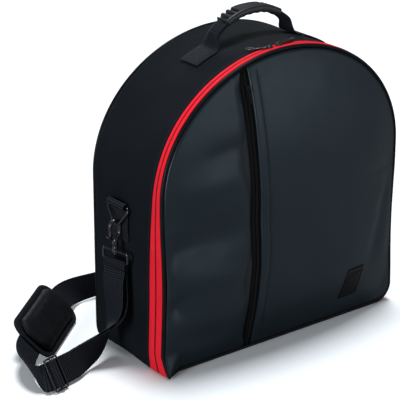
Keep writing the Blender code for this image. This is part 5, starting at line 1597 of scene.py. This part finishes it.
TURNING_SHARES = (
    ((0.82, 0.06, 0.00), (-0.12, 0.48, 0.87)),
    ((0.92, 0.12, 0.05), (-0.15, 0.42, 0.88)),
    ((1.00, 0.16, 0.17), (-0.30, 0.25, 0.90)),
    ((0.95, 0.12, 0.39), (-0.40, 0.25, 0.87)),
    ((0.73, 0.07, 0.67), (-0.45, 0.35, 0.80)),
)
BEHIND_SHARES = (
    ((-0.80, 1.01), (-0.20, 0.25, 0.95)),
    ((-0.667, 1.013), (0.0, 0.0, 1.0)),
    ((-0.43, 0.96), (0.0, 0.0, 1.0)),
    ((0.00, 0.91), (0.0, 0.0, 1.0)),
    ((0.476, 0.89), (0.0, 0.0, 1.0)),
    ((0.81, 0.85), (0.0, 0.0, 1.0)),
    ((1.02, 0.71), (0.05, 0.05, 1.0)),
    ((1.133, 0.465), (0.40, 0.10, 0.90)),
    ((1.18, 0.204), (0.85, 0.10, 0.45)),
)
RISING_SHARES = (
    ((0.00, 0.00, 0.00), (1.0, 0.0, 0.05)),
    ((0.04, 0.35, 0.03), (1.0, 0.0, 0.0)),
    ((0.17, 0.61, 0.135), (1.0, 0.05, 0.0)),
    ((0.42, 0.77, 0.29), (0.95, 0.25, 0.0)),
    ((0.67, 0.89, 0.47), (0.78, 0.62, 0.0)),
    ((0.84, 0.96, 0.66), (0.45, 0.89, 0.0)),
    ((0.90, 0.99, 0.87), (0.26, 0.97, 0.0)),
)
SPREAD_SHARES = (1.0, 1.0, 1.55, 1.75, 1.5, 1.1, 0.7, 0.45, 0.40, 0.40)
WEAVE_SHARES = (
    (-1.5, 1.0, 0.0),
    (-1.0, 1.0, 0.0),
    (-0.78, 0.9, 0.0),
    (-0.18, 0.0, 1.0),
    (0.18, 0.0, 1.0),
    (0.78, 0.9, 0.0),
    (1.0, 1.0, 0.0),
    (1.3, 1.1, 0.0),
)
RETURN_SHARES = ((-1.5, 1.1), (-1.0, 1.12), (-0.5, 0.55))
RETURN_WRAP = math.radians(280)
STRAP_STEPS = 3
STRAP_SMOOTHING = 3
PAD_ALONG = Vector((math.cos(PAD_TURN), math.sin(PAD_TURN), 0))
PAD_UPHILL = Vector((-math.sin(PAD_TURN), math.cos(PAD_TURN), 0))
PAD_ACROSS = PAD_UPHILL * math.cos(PAD_LEAN) + Vector((0, 0, math.sin(PAD_LEAN)))
PAD_OUT = PAD_ALONG.cross(PAD_ACROSS)


def pad_place(along, across, out):
    corner = Vector((-HALF_WIDTH - PAD_OUT_X, PAD_BACK_Y, PAD_LOW_Z))
    return corner + PAD_ALONG * along + PAD_ACROSS * across + PAD_OUT * out


def strap_depth():
    return PAD_BASE / 2 + CLEARANCE + WEBBING / 2


def adjuster_middle():
    return Vector((-HALF_WIDTH - ADJUSTER_OUT, ADJUSTER_Y, ADJUSTER_Z))


def between(start, end, shares):
    return Vector([a + (b - a) * share for a, b, share in zip(start, end, shares)])


def hanging_route():
    """The strap's run from the left loop down to the adjuster, as places and directions across it."""
    _, low, across = loop_frame(-1)
    top = low + Vector((math.cos(LOOP_YAW), math.sin(LOOP_YAW), 0)) * strap_turn()
    top.z -= STRAP_LEG + 3 * CLEARANCE
    start = top - Vector((0, 0, STRAP_RUN_IN))
    route = [(top, across), (start, across)]
    for shares, edge in HANGING_SHARES:
        route.append((between(start, adjuster_middle(), shares), edge))
    return route


def turning_route():
    """Its turn from the adjuster to the pad."""
    middle = adjuster_middle()
    pad_end = pad_place(-PAD_STRAP_RUN_OUT, PAD_WIDTH / 2, -strap_depth())
    route = []
    for (out, down, way), edge in TURNING_SHARES:
        place = between(middle, pad_end, (0, way, way))
        route.append((place - Vector((out, 0, down)) * STRAP_TURN_OUT, edge))
    return route + [(pad_end, PAD_ACROSS)]


def far_route():
    """Its run from the pad along the floor behind the bag and up to the right loop."""
    route = [(pad_place(PAD_LENGTH + PAD_STRAP_RUN_OUT, PAD_WIDTH / 2, -strap_depth()), PAD_ACROSS)]
    for (x_share, back), edge in BEHIND_SHARES:
        height = STRAP_LIFT + WEBBING_WIDTH / 2 * Vector(edge).normalized().z
        route.append(((HALF_WIDTH * x_share, BACK_EDGE + STRAP_BEHIND * back, height), edge))
    _, low, across = loop_frame(1)
    top = low + Vector((math.cos(LOOP_YAW), -math.sin(LOOP_YAW), 0)) * strap_turn()
    top.z -= STRAP_LEG + 3 * CLEARANCE
    end = top - Vector((0, 0, STRAP_RUN_IN))
    floor = (HALF_WIDTH + STRAP_RIGHT, BACK_EDGE, 2 * STRAP_LIFT)
    for shares, edge in RISING_SHARES:
        route.append((between(floor, end, shares), edge))
    return route + [(end, -across), (top, -across)]


def smooth_path(path, steps):
    """A smooth curve through a path's places and directions."""
    rows = [(Vector(place), Vector(side).normalized()) for place, side in path]
    return [(place, side.normalized()) for place, side in eased_through(rows, steps)] + rows[-1:]


def adjuster_frame():
    middle = adjuster_middle()
    along = (middle - hanging_route()[-1][0]).normalized()
    normal = along.cross(Vector(ADJUSTER_EDGE_SHARES)).normalized()
    return middle, along, normal.cross(along), normal


def woven(offsets):
    """Places of a strap at distances along the adjuster and lifts off its plane."""
    middle, along, across, normal = adjuster_frame()
    return [(middle + along * distance + normal * lift, across) for distance, lift in offsets]


def bar_lift():
    return ADJUSTER_WIRE + CLEARANCE + WEBBING / 2


def under_pad(first, last, ahead, behind):
    """Both parts of a path joined by a straight run under the pad, with the bends at its ends eased."""
    (start, side), (end, far_side) = first[-1], last[0]
    steps = 20
    run = [(start.lerp(end, step / steps), side.lerp(far_side, step / steps)) for step in range(1, steps)]
    path = first + run + last
    begin, stop = len(first) - ahead, len(first) + len(run) + behind
    for _ in range(10):
        calmer = list(path)
        for index in range(begin, stop):
            (a, before), (b, here), (c, after) = path[index - 1:index + 2]
            calmer[index] = ((a + b * 2 + c) / 4, (before + here * 2 + after).normalized())
        path = calmer
    return path


def hang(made, node):
    """Leaves a hanging leg of the strap fixed in the world where it lies, on no body, and hides the CAD node that it
    stands for.
    """
    top = Vector(hanging_route()[0][0])
    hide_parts(node)
    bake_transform(made)


def shoulder_strap():
    """Both layers of the strap, from the left hook through the adjuster and round the back to the right hook."""
    wrap = bar_lift() + CLEARANCE / 2
    over = wrap + WEBBING + 2 * CLEARANCE
    weave = [(ADJUSTER_PITCH * along, bar_lift() * beside - over * above)
             for along, beside, above in WEAVE_SHARES]
    turning = smooth_path(turning_route(), STRAP_STEPS)
    path = under_pad(smooth_path(hanging_route(), STRAP_STEPS) + woven(weave) + turning,
                     smooth_path(far_route(), STRAP_STEPS), len(turning) - 3, 8)
    frames = smoothed(strap_frames(path), STRAP_SMOOTHING)
    # The left leg reaches three places into the weave, and the right one begins seven places before its end
    cuts = (STRAP_SMOOTHING * (len(smooth_path(hanging_route(), STRAP_STEPS)) + 3),
            STRAP_SMOOTHING * (len(path) - 1 - 7 * STRAP_STEPS))
    put(strap_piece("shoulder_webbing", frames[cuts[0]:cuts[1] + 1]), "bag_body", "webbing", "shoulder_strap")
    hang(strap_piece("left_strap_leg", frames[:cuts[0] + 1]), "shoulder_strap")
    hang(strap_piece("right_strap_leg", frames[cuts[1]:]), "shoulder_strap")
    path = smooth_path(hanging_route(), STRAP_STEPS)
    lifts = []
    for index in range(len(path)):
        low = index // STRAP_STEPS
        high = min(low + 1, len(SPREAD_SHARES) - 1)
        share = SPREAD_SHARES[low] + (SPREAD_SHARES[high] - SPREAD_SHARES[low]) * (index / STRAP_STEPS - low)
        lifts.append(2 * strap_turn() * share)
    layer = WEBBING + 2 * CLEARANCE
    ends = [(ADJUSTER_PITCH * along, bar_lift() + layer * share) for along, share in RETURN_SHARES]
    ends += [(wrap * math.sin(angle), wrap * math.cos(angle)) for angle in spread(0, RETURN_WRAP, 8)]
    frames = strap_frames(path, lifts) + strap_frames(woven(ends))
    hang(strap_piece("return_webbing", smoothed(frames, 3)), "strap_return")


def strap_adjuster():
    """The wire slide with its middle bar."""
    middle, along, across, _ = adjuster_frame()
    half = ADJUSTER_SPREAD / 2 + ADJUSTER_WIRE
    corners = [middle + along * (u * ADJUSTER_PITCH) + across * (w * half)
               for u, w in ((-1, -1), (1, -1), (1, 1), (-1, 1))]
    wire = tube("frame", rounded_line(corners, 0.0032, 8), ADJUSTER_WIRE, [PAINT], cyclic=True)
    bar = tube("bar", [middle + across * (half * share) for share in (-1, -0.5, 0, 0.5, 1)], ADJUSTER_WIRE, [PAINT])
    put(joined_piece("strap_slide", [wire, bar]), "bag_body", "black_metal", "strap_adjuster")


def rounded(radius, inset, steps=10, sides=10):
    """The pad's rounded outline drawn in by an inset, with points along its straight sides too."""
    corner = radius - inset
    far_x, far_y = PAD_LENGTH - radius, PAD_WIDTH - radius
    arcs = [corner_arc(x, y, corner, start, steps)
            for x, y, start in ((far_x, radius, -90), (far_x, far_y, 0), (radius, far_y, 90), (radius, radius, 180))]
    points = []
    for arc, after in zip(arcs, arcs[1:] + arcs[:1]):
        points += arc + list(zip(*(spread(a, b, sides) for a, b in zip(arc[-1], after[0]))))[1:-1]
    return points


def pad_cushion():
    """The crowned cushion, blown up a little as cloth, then sewn down round its rim."""
    seat = PAD_BASE / 2 + CLEARANCE
    rings = []
    for inset_share, rise_share in CUSHION_SECTION:
        inset = PAD_RIM * (1.0 + inset_share * 0.55)
        rings.append([pad_place(x, y, seat + PAD_CROWN * CUSHION_RISE * rise_share)
                      for x, y in rounded(CUSHION_CORNER, inset)])
    made = loft("pad_cushion_cloth", rings, [PAD_COVER])
    made = blown(made)
    for vertex in made.data.vertices:
        x, y, out = pad_local(vertex.co)
        u, w = x / PAD_LENGTH, y / PAD_WIDTH
        height = max(out - seat, 0.0)
        crease = sum(math.exp(-((u - middle - 0.04 * (w - 0.5)) / 0.010) ** 2) for middle in CREASES)
        wave = 0.0004 * noise.noise(Vector((x * 60, y * 60, 0.3)))
        share = min(height / (PAD_CROWN * 0.8), 1.0)
        vertex.co += PAD_OUT * (share * (wave - 0.0006 * crease * math.sin(math.pi * min(max(w, 0), 1))))
    put(rounded_out(made), "pad", "pad_cloth", "pad_cushion")


def pad_local(point):
    """A point's lengths along, across and out from the pad's corner."""
    spot = Vector(point) - pad_place(0, 0, 0)
    return spot.dot(PAD_ALONG), spot.dot(PAD_ACROSS), spot.dot(PAD_OUT)


def blown(item):
    """Fills a cushion with air as cloth, then holds each point near its place."""
    start = item.data
    finished(item, ("REMESH", {"voxel_size": CLOTH_VOXEL, "use_smooth_shade": True}))
    rest = np.array([vertex.co for vertex in item.data.vertices])
    cloth = item.modifiers.new("cloth", "CLOTH")
    cloth.settings.use_pressure = True
    cloth.settings.uniform_pressure_force = AIR_PRESSURE
    cloth.settings.effector_weights.gravity = 0
    cloth.settings.quality = 6
    cloth.point_cache.frame_start = 1
    cloth.point_cache.frame_end = CLOTH_FRAMES
    scene = bpy.context.scene
    for number in range(1, CLOTH_FRAMES + 1):
        scene.frame_set(number)
    mesh = plain_mesh(item)
    scene.frame_set(1)
    moved = np.array([vertex.co for vertex in mesh.vertices]) - rest
    seat = PAD_BASE / 2 + CLEARANCE
    for index, vertex in enumerate(mesh.vertices):
        shift = Vector(moved[index])
        if shift.length > BLOWN_CAP:
            shift *= BLOWN_CAP / shift.length
        low = shift.dot(PAD_OUT)
        hold = smooth_share((pad_local(rest[index])[2] - seat) / 0.003)
        if low < 0:
            shift -= PAD_OUT * low
        vertex.co = Vector(rest[index]) + shift * (0.15 + 0.55 * hold) * 0.8
        drop = pad_local(vertex.co)[2]
        if drop < seat:
            vertex.co += PAD_OUT * (seat - drop)
    mesh.materials.clear()
    for material in start.materials:
        mesh.materials.append(material)
    item.data = mesh
    finished(item, ("SUBSURF", {"levels": 1, "render_levels": 1}))
    item.data.shade_smooth()
    return item


def shoulder_pad():
    """The pad: a bound base, the crowned cushion on it, its stitches and the two keepers behind it."""
    half = PAD_BASE / 2
    rings = [[pad_place(x, y, half * share) for x, y in rounded(PAD_BASE_CORNER, inset)]
             for inset, share in ((0.0016, -1), (0.0004, -0.8), (0, -0.3), (0, 0.3), (0.0004, 0.8), (0.0016, 1),
                                  (0.0056, 1), (0.0062, 0.86), (0.0100, 0.86), (0.02, 0.86))]
    put(loft("pad_back_cloth", rings, [BINDING]), "pad", "pad_cloth", "pad_base")
    pad_cushion()
    edge = rounded(PAD_BASE_CORNER, PAD_STITCH)
    lines = [[(pad_place(x, y, way * (half + 0.0001)), PAD_OUT * way) for x, y in edge + edge[:1]] for way in (1, -1)]
    sewn("pad_stitches", lines, "pad")
    reach = WEBBING_WIDTH / 2 + KEEPER_MARGIN
    deep = half + KEEPER_MARGIN + WEBBING * 3 / 2 + CLEARANCE
    shallow = half + CLEARANCE + WEBBING / 2
    for word, along in (("near", KEEPER_INSET), ("far", PAD_LENGTH - KEEPER_INSET)):
        path = []
        for across, level in ((-reach - KEEPER_FOOT, shallow), (-reach - WEBBING, shallow), (-reach, deep),
                              (reach, deep), (reach + WEBBING, shallow), (reach + KEEPER_FOOT, shallow)):
            path.append((pad_place(along, PAD_WIDTH / 2 + across, -level), PAD_ALONG))
        put(strap_piece("strap_keeper_" + word, strap_frames(path), BINDING, KEEPER_WIDTH), "pad", "webbing",
            "pad_keeper_" + word)
        lines = []
        for across in (-reach - KEEPER_FOOT / 2 - 0.001, reach + KEEPER_FOOT / 2 + 0.001):
            lines.append([(pad_place(along + step * 0.0018, PAD_WIDTH / 2 + across, -shallow - WEBBING / 2), -PAD_OUT)
                          for step in range(-5, 6)])
        sewn("keeper_stitches_" + word, lines, "pad")


shoulder_strap()
strap_adjuster()
shoulder_pad()


FLOOR_REACH = 12.0
FLOOR_DROP = 0.0002
# The floor as the camera sees it, and as it throws light back
FLOOR_SEEN = (0.96, 0.96, 0.965, 1)
FLOOR_THROWN = (0.26, 0.265, 0.28, 1)
SKY = (0.92, 0.95, 1.0, 1)
SKY_STRENGTH = 0.14
LAMP_COLOUR = (0.90, 0.96, 1.0)
LAMPS_AIM = Vector((0, 0, 0.25))
# Each lamp's name, kind, place, size (an angle for the sun) and power
LAMPS = (
    ("back_lamp", "SUN", (0.30, 0.31, 2.7), 0.315, 3.05),
    ("left_lamp", "AREA", (-3.3, -0.6, 0.75), 1.2, 70),
    ("rear_lamp", "AREA", (0.9, 3.2, 0.9), 1.4, 34),
    ("front_lamp", "AREA", (1.19, -2.95, 0.62), 3.0, 19.5),
)
CAMERA_AZIMUTH = math.radians(-39.60)
CAMERA_ELEVATION = math.radians(20.82)
CAMERA_DISTANCE = 2.619
CAMERA_MIDDLE = Vector((0, 0, 0.21))
AIM_LEFT = 0.0668
AIM_DOWN = 0.0266
CAMERA_LENS = 168.2


def floor_finish():
    """A white floor that keeps the object's shadow; what it throws back at the object is greyer."""
    made = bpy.data.materials.new("pale_floor")
    made.use_nodes = True
    tree = made.node_tree
    shader = tree.nodes["Principled BSDF"].inputs
    shader["Roughness"].default_value = 0.9
    shader["Specular IOR Level"].default_value = 0.1
    seen = add_node(tree, "ShaderNodeLightPath").outputs["Is Camera Ray"]
    tone = add_node(tree, "ShaderNodeMix", {"data_type": "RGBA"}, i0=seen, i6=FLOOR_THROWN, i7=FLOOR_SEEN)
    tree.links.new(tone.outputs[2], shader["Base Color"])
    return made


def aimed(item, place, target):
    item.location = place
    item.rotation_mode = "QUATERNION"
    item.rotation_quaternion = (target - place).to_track_quat("-Z", "Y")
    return item


def studio():
    """The pale floor, the soft lamps and the camera at the photograph's angle."""
    mesh = bpy.data.meshes.new("pale_floor")
    mesh.from_pydata([(x * FLOOR_REACH, y * FLOOR_REACH, 0) for x, y in ((-1, -1), (1, -1), (1, 1), (-1, 1))], [],
                     [(0, 1, 2, 3)])
    mesh.materials.append(floor_finish())
    floor = scene_object("pale_floor", mesh)
    floor.location.z = -FLOOR_DROP
    world = bpy.data.worlds.new("studio_world")
    bpy.context.scene.world = world
    world.use_nodes = True
    tree = world.node_tree
    back = tree.nodes["Background"]
    back.inputs["Color"].default_value = SKY
    back.inputs["Strength"].default_value = SKY_STRENGTH
    bright = add_node(tree, "ShaderNodeBackground", Color=(1, 1, 1, 1), Strength=1.0)
    seen = add_node(tree, "ShaderNodeLightPath").outputs["Is Camera Ray"]
    mix = add_node(tree, "ShaderNodeMixShader", i0=seen, i1=back.outputs[0], i2=bright.outputs[0])
    tree.links.new(mix.outputs[0], tree.nodes["World Output"].inputs["Surface"])
    for name, kind, place, size, power in LAMPS:
        lamp = bpy.data.lights.new(name, kind)
        lamp.energy = power
        lamp.color = LAMP_COLOUR
        if kind == "SUN":
            lamp.angle = size
        else:
            lamp.shape = "RECTANGLE" if name == "front_lamp" else "DISK"
            lamp.size = size
            lamp.size_y = 1.0
        aimed(scene_object(name, lamp), Vector(place), LAMPS_AIM)


def photo_camera():
    """The camera that was fitted to the bag's outline in the photograph."""
    sine, cosine = math.sin(CAMERA_AZIMUTH), math.cos(CAMERA_AZIMUTH)
    level = math.cos(CAMERA_ELEVATION)
    back = Vector((sine * level, -cosine * level, math.sin(CAMERA_ELEVATION)))
    right = Vector((cosine, sine, 0))
    place = CAMERA_MIDDLE + back * CAMERA_DISTANCE
    aim = CAMERA_MIDDLE - right * AIM_LEFT - back.cross(right) * AIM_DOWN
    lens = bpy.data.cameras.new("photo_camera")
    lens.sensor_width = 36
    lens.lens = CAMERA_LENS
    lens.clip_end = 60
    bpy.context.scene.camera = aimed(scene_object("photo_camera", lens), place, aim)


studio()
photo_camera()
bpy.context.scene.view_settings.view_transform = "Standard"
